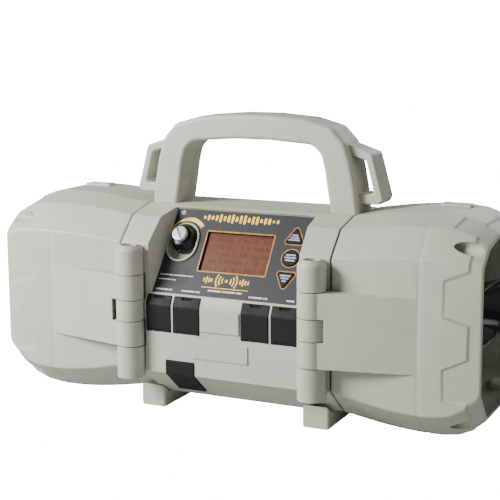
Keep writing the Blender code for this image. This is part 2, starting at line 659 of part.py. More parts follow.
def make_latch(name, side):
    """The over-centre snap lever that holds one pod shut, on its base, and the keeper on the pod."""
    low, high = LATCH_Z
    back = MID_Y + SEAM_CORNERS[1][0]
    base = box(f"latch_base_{name}", *corners_at(side, (60.0, back + GAP, low - 4), (85.0, back + 1.7, high + 4)))
    for ear_low, ear_high in ((low - 4, low), (high, high + 4)):
        ear = [(side * x, y) for x, y in circle((LATCH_X, LATCH_Y), 4.4, 20)]
        join(base, prism("ear", [ear], ear_low, ear_high, "Z"),
             box("ear_foot", *corners_at(side, (61.6, back + 1.0, ear_low), (70.4, LATCH_Y, ear_high))))
    join(base, rod("latch_pin", 1.5, (side * LATCH_X, LATCH_Y, low - 1), (side * LATCH_X, LATCH_Y, high + 1), 12))
    finish(base, "dark_plastic")
    barrel = (side * LATCH_X, LATCH_Y)
    lever = rod(f"latch_lever_{name}", LATCH_R, (*barrel, low + 0.4), (*barrel, high - 0.4), 20)
    paddle = [(66.0, 79.9), (97.0, 80.1), (102.0, 81.6), (102.0, 83.6), (96.0, 82.9), (66.0, 84.6)]
    paddle = [(side * x, y) for x, y in paddle]
    join(lever, prism("paddle", [paddle], low + 0.4, high - 0.4, "Z"))
    cut(lever, rod("lever_bore", 1.9, (*barrel, low - 2), (*barrel, high + 2), 12))
    finish(lever, "dark_plastic")
    carried_by(f"latch_{name}_hinge", (*barrel, low), [lever])


def corners_at(side, low, high):
    """A box's two corners on the right, mirrored to the left where side is -1."""
    if side > 0:
        return low, high
    return (-high[0], low[1], low[2]), (-low[0], high[1], high[2])


# ---------------------------------------------------------------- pods

def pod_ring(side, x, inwards):
    return [(side * x, y, z) for y, z in pod_section(x, inwards)]


def make_pod_shell(name, side):
    stations = (SEAM_POD, 112.0, 135.0, POD_FULL, 174.0, 185.0, 193.0, 198.0, POD_RIM)
    shell = loft(f"pod_shell_{name}", [pod_ring(side, x, 0.0) for x in stations])
    hollow = [pod_ring(side, x, POD_WALL) for x in (SEAM_POD + POD_FLOOR,) + stations[1:-1]]
    past_rim = [(side * (POD_RIM + 4), y, z) for _, y, z in pod_ring(side, POD_RIM, 2.2)]
    leaf = [(82.0, -83.5), (162.0, -67.2), (162.0, -66.4), (SEAM_POD + 0.1, -66.4), (SEAM_POD + 0.1, -69.2),
            (80.0, -70.5), (HINGE_X, HINGE_Y)]
    leaf = [(side * x, y) for x, y in leaf]
    low, high = POD_KNUCKLES[0][0], POD_KNUCKLES[1][1]
    axis_x = side * HINGE_X
    join(shell, prism("leaf", [leaf], low, high, "Z"),
         rod("pod_knuckle", KNUCKLE_R, (axis_x, HINGE_Y, low), (axis_x, HINGE_Y, high), 40))
    cut(shell, loft("pod_hollow", hollow + [past_rim]),
        rod("leaf_notch", LEAF_CLEAR_R, (axis_x, HINGE_Y, POD_KNUCKLES[0][1]),
            (axis_x, HINGE_Y, POD_KNUCKLES[1][0]), 40),
        rod("pod_pin_bore", PIN_BORE_R, (axis_x, HINGE_Y, 40), (axis_x, HINGE_Y, 130), 16))
    return finish(shell, "sage_plastic")


def superellipse(side, x, half_depth, half_height, sides=24):
    """A ring of the horn: round at the throat, squarer as it widens."""
    power = 1.0 - 0.45 * (half_depth - half_height) / (HORN_HALF_DEPTH - HORN_HALF_HEIGHT)
    points = []
    for step in range(sides):
        turn = 2 * math.pi * (step + 0.5) / sides
        across, up = math.cos(turn), math.sin(turn)
        y = MID_Y + half_depth * math.copysign(abs(across) ** power, across)
        z = HORN_Z + half_height * math.copysign(abs(up) ** power, up)
        points.append((side * x, y, z))
    return points


def horn_rings(side, inwards, start, end):
    rings = []
    for share in (0.0, 0.35, 0.6, 0.8, 0.93, 1.0):
        x = start + share * (end - start)
        half_depth = 14.5 + (HORN_HALF_DEPTH - 14.5) * share ** 2
        half_height = 14.5 + (HORN_HALF_HEIGHT - 14.5) * share ** 1.3
        rings.append(superellipse(side, x, half_depth - inwards, half_height - inwards))
    return rings


def make_horn(name, side):
    """A flared horn on its baffle, with its phase plug and the driver behind."""
    horn = loft(f"horn_{name}", horn_rings(side, 0.0, HORN_THROAT_X, HORN_MOUTH_X))
    cut(horn, loft("horn_flare", horn_rings(side, 2.6, HORN_THROAT_X - 2.0, HORN_MOUTH_X + 0.5)))
    finish(horn, "black_gloss")
    baffle_outline = offset(whole_section(pod_corners(BAFFLE_X[0])), POD_WALL + 0.6)
    baffle = prism(f"horn_baffle_{name}", [rounded(baffle_outline, 3.0), circle((MID_Y, HORN_Z), 12.6)],
                   *sorted((side * BAFFLE_X[0], side * BAFFLE_X[1])))
    finish(baffle, "dark_plastic")
    matrix = placed((0, side, 0), (0, 0, 1), (side, 0, 0), (0, MID_Y, HORN_Z))
    driver = ((0, 127.4), (12.2, 127.4), (12.2, 124.2), (17.0, 124.2), (17.0, 118.0), (27.0, 118.0),
              (27.0, 102.0), (22.0, 99.0), (0, 99.0))
    finish(turned(f"horn_driver_{name}", driver, matrix), "satin_metal")
    plug = ((0, 172.0), (4.0, 170.0), (8.0, 164.0), (9.0, 158.0), (4.0, 150.0), (2.5, 140.0),
            (2.5, 127.9), (0, 127.9))
    finish(turned(f"horn_plug_{name}", plug, matrix, 24), "black_gloss")


def make_pod(name, side):
    shell = make_pod_shell(name, side)
    make_horn(name, side)
    back = MID_Y + SEAM_CORNERS[1][0]
    keeper = finish(box(f"latch_keeper_{name}", *corners_at(side, (91.0, back + GAP, 80.0), (98.0, 79.5, 94.0)),
                        0.6), "dark_plastic")
    pieces = [shell, keeper] + [MODEL.objects[f"{piece}_{name}"] for piece in
                                ("horn", "horn_baffle", "horn_driver", "horn_plug")]
    carried_by(f"pod_{name}_hinge", (side * HINGE_X, HINGE_Y, 0), pieces)


def main():
    for thing in list(bpy.data.objects):
        bpy.data.objects.remove(thing, do_unlink=True)
    bpy.context.scene.collection.children.link(MODEL)
    bpy.context.scene.collection.children.link(TOOLS)
    make_front_housing()
    make_rear_housing()
    make_handle()
    make_panel()
    make_volume_control()
    make_port_covers()
    make_jacks()
    make_electronics()
    make_battery()
    for name, side in (("left", -1), ("right", 1)):
        make_end(name, side)
        make_foot(name, side)
        make_hinge_pin(name, side)
        make_latch(name, side)
        make_pod(name, side)


main()
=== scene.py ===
"""Looks of the electronic game caller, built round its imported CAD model.

Sizes are in millimetres and become metres through MM. +X is right, +Y is back, +Z is up, as in the model.
"""

import functools
import math

import bmesh
import bpy
from mathutils import Matrix, Vector


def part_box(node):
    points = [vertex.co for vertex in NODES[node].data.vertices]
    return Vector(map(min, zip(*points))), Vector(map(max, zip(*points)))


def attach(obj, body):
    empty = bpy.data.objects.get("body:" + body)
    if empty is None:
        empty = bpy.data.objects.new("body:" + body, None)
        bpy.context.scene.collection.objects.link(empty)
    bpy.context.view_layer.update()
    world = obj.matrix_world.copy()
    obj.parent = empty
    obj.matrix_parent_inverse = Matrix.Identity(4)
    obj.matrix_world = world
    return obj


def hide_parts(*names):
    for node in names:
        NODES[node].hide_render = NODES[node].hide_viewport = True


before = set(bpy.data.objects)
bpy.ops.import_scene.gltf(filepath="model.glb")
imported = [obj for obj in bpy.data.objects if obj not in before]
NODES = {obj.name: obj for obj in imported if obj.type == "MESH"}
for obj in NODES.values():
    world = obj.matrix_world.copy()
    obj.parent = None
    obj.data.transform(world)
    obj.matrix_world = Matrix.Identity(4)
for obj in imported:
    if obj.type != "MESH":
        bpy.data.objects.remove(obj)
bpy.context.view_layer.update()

MM = 0.001
MERGE_DISTANCE = 0.000002       # metres
# In degrees: edges sharper than these are rounded, or stay sharp in shading; flatter ones than the last go.
EDGE_ANGLE, SMOOTH_ANGLE, FLAT_ANGLE = 38, 32, 0.4
SIDES = (("left", -1), ("right", 1))


def box_mm(node):
    """A CAD node's lowest and highest corner, in millimetres."""
    low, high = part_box(node)
    return low / MM, high / MM


# Shells, as the model has them: corners from the bottom up, as half depth either side of MID_Y and height.
MID_Y = 3.7
POD_WALL, POD_FLOOR = 2.8, 3.0
POD_FULL = 158.0
SEAM_POD = 89.4
SEAM_HOUSING = box_mm("housing_front")[1].x
POD_RIM = box_mm("pod_shell_right")[1].x
SEAM_CORNERS = ((43.7, 12.8), (71.6, 36.5), (71.6, 136.3), (52.5, 155.2), (26.0, 161.2))
FULL_CORNERS = ((43.7, 4.9), (71.6, 26.2), (71.6, 140.6), (51.5, 160.7), (26.0, 168.2))
RIM_CORNERS = ((50.0, 21.8), (69.3, 45.0), (69.3, 137.0), (52.0, 150.0), (28.0, 154.5))

# Hinges.
HINGE_X, HINGE_Y = 77.2, -75.1
KNUCKLE_R, LEAF_CLEAR_R, PIN_BORE_R, PIN_BORE_ENDS = 10.9, 14.0, 2.9, (40.0, 130.0)
POD_KNUCKLES = ((56.3, 76.1), (93.4, 112.6))

# Control panel: places on it are (x, s, h), s runs up the slope and h stands out of it.
FILM_H = -0.6
KNOB_X, KNOB_S = -46.9, 47.1
KEY_X = 47.0
LCD_LOW, LCD_HIGH = (-27.0, 21.4), (29.3, 54.4)
LCD_BACK_H, LCD_FACE_H = -2.95, -2.4

# Studio: how strongly the surroundings light the object, how bright the camera sees them, and the lamps, each
# with its place, size and power.
WORLD_LIGHT, WORLD_SEEN, FLOOR_SEEN = 0.12, 22.0, 21.5
FLOOR_HALF_SIZE = 6.0
LAMPS = (
    ("key_light", (-0.70, -0.72, 0.62), 0.5, 27.5), ("fill_light", (1.5, -1.2, 0.6), 1.0, 1.6),
    ("right_light", (1.2, 0.2, 1.3), 0.8, 5.0), ("top_light", (0.0, 0.3, 1.9), 1.4, 1.0),
    ("back_light", (0.2, 1.8, 1.0), 1.2, 15.0),
)
LAMP_TARGET = Vector((0, 0, 0.1))

# Camera: angles in degrees, place in metres.
AZIMUTH, ELEVATION, ROLL = 25.90, 9.68, -0.38
CAMERA_PLACE = (0.42677, -0.90023, 0.30604)
LENS, SENSOR, SHIFT_X, SHIFT_Y = 90.5, 36.0, 0.0036, -0.0276


def panel_axes():
    """The panel's foot, its direction up the slope and its direction out, from the film's own widest face."""
    mesh = NODES["control_panel"].data
    out = max(mesh.polygons, key=lambda face: face.area if face.normal.z > 0.3 else 0.0).normal.normalized()
    up = out.cross(Vector((1, 0, 0)))
    top = max(vertex.co.dot(out) for vertex in mesh.vertices)
    foot = min(vertex.co.dot(up) for vertex in mesh.vertices)
    return up * (foot / MM) + out * (top / MM - FILM_H), up, out


PANEL_FOOT, PANEL_UP, PANEL_OUT = panel_axes()


def placed(x_axis, y_axis, z_axis, origin=(0, 0, 0)):
    """A matrix whose local axes are the ones given, at an origin in millimetres."""
    matrix = Matrix((x_axis, y_axis, z_axis)).transposed().to_4x4()
    matrix.translation = Vector(origin) * MM
    return matrix


FRAMES = {
    "X": placed((0, 1, 0), (0, 0, 1), (1, 0, 0)),
    "Y": placed((1, 0, 0), (0, 0, 1), (0, -1, 0)),
    "Z": Matrix.Identity(4),
    "panel": placed((1, 0, 0), PANEL_UP, PANEL_OUT, PANEL_FOOT),
}


def panel_frame(x, s, h):
    return FRAMES["panel"] @ Matrix.Translation(Vector((x, s, h)) * MM)


# ---- materials

class Finish:
    """A node material in the making: each method adds a node and gives its output."""

    def __init__(self, name, colour, roughness, metallic=0.0, **constants):
        self.material = bpy.data.materials.new(name)
        self.material.use_nodes = True
        self.tree = self.material.node_tree
        self.shader = self.tree.nodes["Principled BSDF"]
        self.set("Base Color", (*colour, 1.0))
        self.set("Roughness", roughness)
        self.set("Metallic", metallic)
        for socket, value in constants.items():
            self.set(socket.replace("_", " "), value)
        self.place = self.tree.nodes.new("ShaderNodeTexCoord").outputs["Object"]

    def set(self, socket, value):
        if isinstance(value, bpy.types.NodeSocket):
            self.tree.links.new(value, self.shader.inputs[socket])
        else:
            self.shader.inputs[socket].default_value = value

    def node(self, kind, inputs, output=0, **settings):
        node = self.tree.nodes.new(f"ShaderNode{kind}")
        for setting, value in settings.items():
            setattr(node, setting, value)
        for socket, value in inputs.items():
            if isinstance(value, bpy.types.NodeSocket):
                self.tree.links.new(value, node.inputs[socket])
            else:
                node.inputs[socket].default_value = value
        return node.outputs[output]

    def noise(self, per_mm, detail=3.0, stretch=(1, 1, 1)):
        """Noise of about this many lumps a millimetre."""
        where = self.node("Mapping", {"Vector": self.place, "Scale": stretch})
        return self.node("TexNoise", {"Vector": where, "Scale": per_mm / MM, "Detail": detail})

    def remap(self, value, low, high, to_low, to_high):
        return self.node("MapRange", {0: value, 1: low, 2: high, 3: to_low, 4: to_high})

    def maths(self, operation, first, second=0.0):
        return self.node("Math", {0: first, 1: second}, operation=operation)

    def blend(self, share, first, second):
        first, second = ((*end, 1) if isinstance(end, tuple) else end for end in (first, second))
        return self.node("Mix", {0: share, 6: first, 7: second}, 2, data_type="RGBA")

    def roughness(self, cloud, low, high):
        self.set("Roughness", self.remap(cloud, 0.3, 0.7, low, high))

    def rounding(self, radius):
        return self.node("Bevel", {"Radius": radius * MM}, samples=4)

    def edges(self, rounded_normal):
        """1 along sharp edges, 0 elsewhere."""
        flat = self.node("NewGeometry", {}, "Normal")
        together = self.node("VectorMath", {0: rounded_normal, 1: flat}, "Value", operation="DOT_PRODUCT")
        return self.remap(together, 0.99, 0.80, 0.0, 1.0)

    def relief(self, height, depth, normal=None):
        inputs = {"Height": height, "Distance": depth * MM}
        if normal:
            inputs["Normal"] = normal
        return self.node("Bump", inputs)


def moulded(name, colour, roughness, grain=2.2, grain_depth=0.05, mottle=0.05, rounding=0.45, wear_and_highlight=0.35,
            **constants):
    """Moulded plastic or rubber: a fine spark-eroded grain, faint mottling, and edges painted paler, partly
    as wear and partly as a painted highlight.
    """
    finish = Finish(name, colour, roughness, **constants)
    cloud = finish.noise(0.03, 4.0)
    dark = tuple(channel * (1 - mottle) for channel in colour)
    light = tuple(min(1.0, channel * (1 + mottle)) for channel in colour)
    tint = finish.blend(finish.remap(cloud, 0.3, 0.7, 0.0, 1.0), dark, light)
    rounded_normal = finish.rounding(rounding)
    # Every sharp edge is painted paler: partly wear, partly a painted highlight that ignores where the light
    # falls.
    wear_and_highlight_mask = finish.maths("MULTIPLY", finish.edges(rounded_normal), finish.remap(cloud, 0.35, 0.7, 0.2, wear_and_highlight))
    pale = tuple(min(1.0, channel * 1.3 + 0.02) for channel in colour)
    finish.set("Base Color", finish.blend(wear_and_highlight_mask, tint, pale))
    finish.roughness(finish.noise(0.12, 5.0), roughness - 0.06, roughness + 0.06)
    finish.set("Normal", finish.relief(finish.noise(grain, 2.0), grain_depth, rounded_normal))
    return finish.material


def metal(name, colour, roughness, stretch):
    """Brushed or turned metal: fine scratches along one direction."""
    finish = Finish(name, colour, roughness, 1.0)
    scratch = finish.noise(1.5, 4.0, stretch)
    finish.roughness(scratch, roughness - 0.08, roughness + 0.1)
    dull = tuple(channel * 0.86 for channel in colour)
    finish.set("Base Color", finish.blend(scratch, dull, colour))
    finish.set("Normal", finish.relief(scratch, 0.02, finish.rounding(0.15)))
    return finish.material


def film_material():
    """The panel's printed film: dark slate with a fine velvet texture."""
    finish = Finish("panel_film", (0.028, 0.028, 0.033), 0.46, Specular_IOR_Level=0.28)
    speck = finish.noise(1.2, 2.0)
    finish.set("Base Color", finish.blend(speck, (0.023, 0.023, 0.027), (0.034, 0.034, 0.039)))
    finish.roughness(finish.noise(0.08, 4.0), 0.40, 0.52)
    finish.set("Normal", finish.relief(finish.noise(4.0, 1.0), 0.02))
    return finish.material


def ink_material(name, low, high):
    """Printed ink that shades from one tone to another in streaks."""
    finish = Finish(name, high, 0.38, Specular_IOR_Level=0.3)
    streak = finish.noise(0.35, 3.0, (1.0, 0.5, 0.5))
    finish.set("Base Color", finish.blend(finish.remap(streak, 0.35, 0.65, 0.0, 1.0), low, high))
    finish.roughness(finish.noise(2.0, 2.0), 0.32, 0.44)
    return finish.material


def board_material():
    """A circuit board: solder mask with paler copper traces under it."""
    finish = Finish("circuit_board", (0.01, 0.09, 0.035), 0.35)
    cells = finish.node("TexVoronoi", {"Vector": finish.place, "Scale": 0.22 / MM}, 0,
                        feature="F1", distance="MANHATTAN")
    traces = finish.maths("GREATER_THAN", finish.maths("FRACT", finish.maths("MULTIPLY", cells, 4.0)), 0.72)
    finish.set("Base Color", finish.blend(traces, (0.008, 0.075, 0.03), (0.03, 0.19, 0.07)))
    finish.set("Roughness", finish.remap(traces, 0.0, 1.0, 0.42, 0.3))
    finish.set("Normal", finish.relief(traces, 0.05))
    return finish.material


CELL_PITCH = 14.5


def wrap_material():
    """Shrink wrap over round cells that stand side by side along X, with painted shade in the grooves between
    them.
    """
    finish = Finish("battery_wrap", (0.02, 0.06, 0.22), 0.28)
    across = finish.node("SeparateXYZ", {"Vector": finish.place}, 0)
    turns = finish.maths("MULTIPLY", across, math.pi / (CELL_PITCH * MM))
    ridge = finish.maths("ABSOLUTE", finish.maths("SINE", turns))
    # Painted shade and highlight: the wrap is coloured darker in the grooves between cells and lighter on
    # their crests.
    finish.set("Base Color", finish.blend(ridge, (0.010, 0.03, 0.12), (0.03, 0.085, 0.28)))
    crinkle = finish.noise(0.5, 4.0, (1, 1, 0.2))
    finish.roughness(crinkle, 0.2, 0.36)
    finish.set("Normal", finish.relief(crinkle, 0.12, finish.relief(ridge, 2.0)))
    return finish.material


MENU_ROW, MENU_COLUMN = 6.2, 2.1


def display_material():
    """A lit amber screen with rows of blocks for a menu, darker where its frame shades it."""
    finish = Finish("display_amber", (0.18, 0.05, 0.02), 0.34, Specular_IOR_Level=0.25, Coat_Weight=0.12,
                    Coat_Roughness=0.12)
    from_foot = finish.node("VectorMath", {0: finish.place, 1: tuple(PANEL_FOOT * MM)}, operation="SUBTRACT")
    x = finish.node("SeparateXYZ", {"Vector": finish.place}, 0)
    s = finish.node("VectorMath", {0: from_foot, 1: tuple(PANEL_UP)}, "Value", operation="DOT_PRODUCT")
    row = finish.maths("DIVIDE", finish.maths("SUBTRACT", s, LCD_LOW[1] * MM), MENU_ROW * MM)
    column = finish.maths("DIVIDE", x, MENU_COLUMN * MM)
    cell = finish.node("CombineXYZ", {"X": finish.maths("FLOOR", column), "Y": finish.maths("FLOOR", row)})
    chance = finish.node("TexWhiteNoise", {"Vector": cell}, "Value", noise_dimensions="3D")
    off_middle = finish.maths("ABSOLUTE", finish.maths("SUBTRACT", finish.maths("FRACT", row), 0.5))
    within_row = finish.maths("LESS_THAN", off_middle, 0.27)
    within_column = finish.maths("LESS_THAN", finish.maths("FRACT", column), 0.78)
    lit = finish.maths("MULTIPLY", finish.maths("GREATER_THAN", chance, 0.38),
                       finish.maths("MULTIPLY", within_row, within_column))
    cloud = finish.noise(0.05, 2.0)
    ground = finish.blend(cloud, (0.112, 0.034, 0.013), (0.150, 0.050, 0.022))
    # Painted shadow of the frame: the screen darkens towards its left and top edges.
    left = finish.remap(x, LCD_LOW[0] * MM, (LCD_LOW[0] + 3.0) * MM, 0.75, 0.0)
    top = finish.remap(s, LCD_HIGH[1] * MM, (LCD_HIGH[1] - 3.5) * MM, 0.85, 0.0)
    menu = finish.blend(finish.maths("MULTIPLY", lit, 0.42), ground, (0.055, 0.015, 0.007))
    finish.set("Base Color", finish.blend(finish.maths("MAXIMUM", left, top), menu, (0.085, 0.012, 0.004)))
    finish.roughness(finish.noise(0.2, 4.0), 0.28, 0.38)
    return finish.material


def floor_material():
    """A pale floor that the camera sees evenly bright out to the horizon."""
    finish = Finish("studio_floor", (0.45, 0.45, 0.45), 0.8)
    finish.set("Base Color", finish.blend(finish.noise(0.004, 2.0), (0.44, 0.44, 0.44), (0.47, 0.47, 0.47)))
    seen = finish.node("LightPath", {}, "Is Camera Ray")
    finish.set("Emission Color", (1.0, 1.0, 1.0, 1.0))
    finish.set("Emission Strength", finish.maths("MULTIPLY", seen, FLOOR_SEEN))
    return finish.material


SAGE = (0.474, 0.482, 0.394)
MATERIALS = {
    # The sage shell's edges are painted paler, as wear and as painted highlight.
    "sage_shell": moulded("sage_plastic", SAGE, 0.5, rounding=0.8, wear_and_highlight=0.75),
    # A darker copy of the sage plastic for parts deep in the pods: painted shade.
    "sage_painted_shade": moulded("sage_plastic_painted_shade", (0.42, 0.425, 0.36), 0.6, wear_and_highlight=0.1),
    "black_rubber": moulded("black_rubber", (0.0085, 0.009, 0.009), 0.6, grain=3.0, mottle=0.15, wear_and_highlight=0.05,
                            rounding=0.5, Specular_IOR_Level=0.2),
    "black_gloss": moulded("black_gloss_plastic", (0.005, 0.005, 0.0055), 0.2, grain=0.4, grain_depth=0.01,
                           mottle=0.1, wear_and_highlight=0.04, Specular_IOR_Level=0.4),
    "dark_plastic": moulded("dark_plastic", (0.028, 0.029, 0.03), 0.48, mottle=0.12, wear_and_highlight=0.15),
    "panel_film": film_material(),
    "display_glass": display_material(),
    "satin_metal": metal("satin_metal", (0.66, 0.69, 0.76), 0.34, (1.0, 0.12, 0.12)),
    "black_steel": metal("black_steel", (0.05, 0.05, 0.052), 0.36, (1.0, 1.0, 1.0)),
    "steel": metal("zinc_steel", (0.60, 0.60, 0.58), 0.3, (1.0, 1.0, 0.15)),
    "circuit_board": board_material(),
    "battery_wrap": wrap_material(),
    "gold_ink": ink_material("gold_ink", (0.95, 0.46, 0.01), (1.0, 0.84, 0.16)),
    "bronze_ink": ink_material("bronze_ink", (0.36, 0.15, 0.025), (0.55, 0.29, 0.07)),
    "white_ink": ink_material("white_ink", (0.62, 0.62, 0.64), (0.82, 0.82, 0.84)),
    "blue_ink": ink_material("blue_ink", (0.26, 0.29, 0.42), (0.46, 0.49, 0.62)),
    "blue_paint": moulded("silver_blue_paint", (0.52, 0.56, 0.66), 0.3, grain=6.0, grain_depth=0.01,
                          mottle=0.06, rounding=0.25, wear_and_highlight=0.3, Metallic=0.35),
}


# ---- outlines

def offset(outline, inwards):
    """The outline moved inwards by a distance, its corners kept sharp."""
    points = [Vector(point) for point in outline]
    turn = 1 if signed_area(outline) > 0 else -1
    moved = []
    for index, corner in enumerate(points):
        before = (corner - points[index - 1]).normalized()
        after = (points[(index + 1) % len(points)] - corner).normalized()
        normal_in = Vector((-before.y, before.x)) * turn
        normal_out = Vector((-after.y, after.x)) * turn
        bisector = (normal_in + normal_out).normalized()
        moved.append(tuple(corner + bisector * inwards / bisector.dot(normal_in)))
    return moved


def signed_area(outline):
    pairs = zip(outline, outline[1:] + outline[:1])
    return sum(ax * by - bx * ay for (ax, ay), (bx, by) in pairs) / 2


def rounded(outline, radii, steps=6):
    """The outline with arcs for corners, of one radius or of one for each corner; 0 keeps it sharp."""
    points = [Vector(point) for point in outline]
    if not isinstance(radii, (list, tuple)):
        radii = [radii] * len(points)
    result = []
    for index, (corner, radius) in enumerate(zip(points, radii)):
        if not radius:
            result.append(tuple(corner))
            continue
        back = (points[index - 1] - corner).normalized()
        ahead = (points[(index + 1) % len(points)] - corner).normalized()
        half = back.angle(ahead) / 2
        centre = corner + (back + ahead).normalized() * radius / math.sin(half)
        first = corner + back * radius / math.tan(half) - centre
        last = corner + ahead * radius / math.tan(half) - centre
        for step in range(steps + 1):
            result.append(tuple(centre + first.lerp(last, step / steps).normalized() * radius))
    return result


def rectangle(low, high, radius=0, steps=6):
    corners = [low, (high[0], low[1]), high, (low[0], high[1])]
    return rounded(corners, radius, steps) if radius else corners


def circle(x, y, radius, steps):
    turns = [2 * math.pi * step / steps for step in range(steps)]
    return [(x + radius * math.cos(turn), y + radius * math.sin(turn)) for turn in turns]


def arc_band(centre, inner, outer, start, end, steps):
    """A band between two radii, which may be functions of the share of the way round. Angles in degrees."""
    def ring(radius, shares):
        found = []
        for share in shares:
            turn = math.radians(start + (end - start) * share)
            reach = radius(share) if callable(radius) else radius
            found.append((centre[0] + reach * math.cos(turn), centre[1] + reach * math.sin(turn)))
        return found
    shares = [step / steps for step in range(steps + 1)]
    return ring(inner, shares) + ring(outer, shares[::-1])


# ---- meshes

def face_outwards(shape):
    """Turns every separate closed piece of a bmesh so that its faces point out of it."""
    bmesh.ops.recalc_face_normals(shape, faces=shape.faces)
    left = set(shape.faces)
    while left:
        piece = [left.pop()]
        for face in piece:
            for edge in face.edges:
                for other in edge.link_faces:
                    if other in left:
                        left.discard(other)
                        piece.append(other)
        volume = 0.0
        for face in piece:
            corners = [vertex.co for vertex in face.verts]
            for second, third in zip(corners[1:], corners[2:]):
                volume += corners[0].dot(second.cross(third))
        if volume < 0:
            bmesh.ops.reverse_faces(shape, faces=piece)


def new_object(name, data):
    thing = bpy.data.objects.new(name, data)
    bpy.context.scene.collection.objects.link(thing)
    return thing


def add_mesh(name, shape, matrix=None):
    """An object from a bmesh in metres, its faces turned outwards and its vertices put in world space."""
    if matrix:
        shape.transform(matrix)
    face_outwards(shape)
    mesh = bpy.data.meshes.new(name)
    shape.to_mesh(mesh)
    shape.free()
    return new_object(name, mesh)


def applied(thing):
    """The object with its modifiers made part of its mesh, and no merge left over."""
    name = thing.name
    graph = bpy.context.evaluated_depsgraph_get()
    mesh = bpy.data.meshes.new_from_object(thing.evaluated_get(graph))
    matrix = thing.matrix_world.copy()
    bpy.data.objects.remove(thing, do_unlink=True)
    shape = bmesh.new()
    shape.from_mesh(mesh)
    bpy.data.meshes.remove(mesh)
    bmesh.ops.remove_doubles(shape, verts=shape.verts, dist=MERGE_DISTANCE)
    return add_mesh(name, shape, matrix)


def prism(name, outlines, low, high, frame_name="X", bevel=0.0, segments=3):
    """A flat outline, with any holes after it, made solid from low to high along the frame's axis."""
    if frame_name == "Y":
        low, high = -high, -low
    curve = bpy.data.curves.new(name, "CURVE")
    curve.dimensions, curve.fill_mode = "2D", "BOTH"
    curve.extrude = (high - low) / 2 * MM
    for outline in outlines:
        spline = curve.splines.new("POLY")
        spline.points.add(len(outline) - 1)
        spline.use_cyclic_u = True
        for point, (u, v) in zip(spline.points, outline):
            point.co = (u * MM, v * MM, 0, 1)
    thing = new_object(name, curve)
    thing.matrix_world = FRAMES[frame_name] @ Matrix.Translation((0, 0, (low + high) / 2 * MM))
    bpy.context.view_layer.update()
    thing = applied(thing)
    return bevelled(thing, bevel, segments) if bevel else thing


def bevelled(thing, width, segments=3, angle=35):
    """The object with its edges sharper than the angle rounded, as plain mesh."""
    edges = thing.modifiers.new("edges", "BEVEL")
    edges.width, edges.segments = width * MM, segments
    edges.limit_method, edges.angle_limit = "ANGLE", math.radians(angle)
    bpy.context.view_layer.update()
    return applied(thing)


def box(name, low, high, bevel=0.0, frame_name="Z"):
    low, high = Vector(low), Vector(high)
    shape = bmesh.new()
    bmesh.ops.create_cube(shape, size=1)
    bmesh.ops.scale(shape, vec=(high - low) * MM, verts=shape.verts)
    thing = add_mesh(name, shape, FRAMES[frame_name] @ Matrix.Translation((low + high) / 2 * MM))
    return bevelled(thing, bevel) if bevel else thing


def rod(name, radius, start, end, sides, bevel=0.0):
    start, end = Vector(start) * MM, Vector(end) * MM
    shape = bmesh.new()
    bmesh.ops.create_cone(shape, cap_ends=True, segments=sides, radius1=radius * MM,
                          radius2=radius * MM, depth=(end - start).length)
    turn = (end - start).to_track_quat("Z", "Y").to_matrix().to_4x4()
    thing = add_mesh(name, shape, Matrix.Translation((start + end) / 2) @ turn)
    return bevelled(thing, bevel) if bevel else thing


def turned(name, profile, matrix, sides, flutes=None):
    """A turned shape about local Z from (radius, height) points, closed where the radius is 0.

    flutes gives each point's share of the radius from the angle and the point's index."""
    shape = bmesh.new()
    rings = []
    for index, (radius, height) in enumerate(profile):
        if radius == 0:
            rings.append([shape.verts.new((0, 0, height * MM))])
            continue
        ring = []
        for side in range(sides):
            turn = 2 * math.pi * side / sides
            reach = radius * (flutes(turn, index) if flutes else 1.0) * MM
            ring.append(shape.verts.new((reach * math.cos(turn), reach * math.sin(turn), height * MM)))
        rings.append(ring)
    for lower, upper in zip(rings, rings[1:]):
        for side in range(sides):
            around = {lower[side % len(lower)]: 0, lower[(side + 1) % len(lower)]: 0,
                      upper[(side + 1) % len(upper)]: 0, upper[side % len(upper)]: 0}
            shape.faces.new(list(around))
    bmesh.ops.remove_doubles(shape, verts=shape.verts, dist=MERGE_DISTANCE / 4)
    return add_mesh(name, shape, matrix)


def loft(name, rings, closed_ends=True):
    """A solid through rings of equal point counts, each a list of (x, y, z)."""
    shape = bmesh.new()
    layers = [[shape.verts.new(Vector(point) * MM) for point in ring] for ring in rings]
    for lower, upper in zip(layers, layers[1:]):
        for index in range(len(lower)):
            shape.faces.new((lower[index - 1], lower[index], upper[index], upper[index - 1]))
    if closed_ends:
        shape.faces.new(layers[0])
        shape.faces.new(layers[-1])
    return add_mesh(name, shape)


def rounded_slab(name, outline, low, high, radius, steps=5):
    """An outline, (x, z), made solid from low to high along Y, with the rims of its flat faces rounded."""
    quarter = [math.pi / 2 * step / steps for step in range(steps + 1)]
    rim = [(radius * (1 - math.cos(turn)), radius * (1 - math.sin(turn))) for turn in quarter]
    stations = [(low + along, inset) for along, inset in rim]
    stations += [(high - along, inset) for along, inset in rim[::-1]]
    return loft(name, [[(x, y, z) for x, z in offset(outline, inset)] for y, inset in stations])


def combine(target, operation, tools):
    """Cuts the tools from the target or joins them to it, and leaves one plain mesh."""
    for index, tool in enumerate(tools):
        boolean = target.modifiers.new(f"{operation}_{index}", "BOOLEAN")
        boolean.operation, boolean.solver, boolean.object = operation, "EXACT", tool
    bpy.context.view_layer.update()
    result = applied(target)
    for tool in tools:
        bpy.data.objects.remove(tool, do_unlink=True)
    return result


def cut(target, *tools):
    return combine(target, "DIFFERENCE", tools)


def join(target, *tools):
    return combine(target, "UNION", tools)


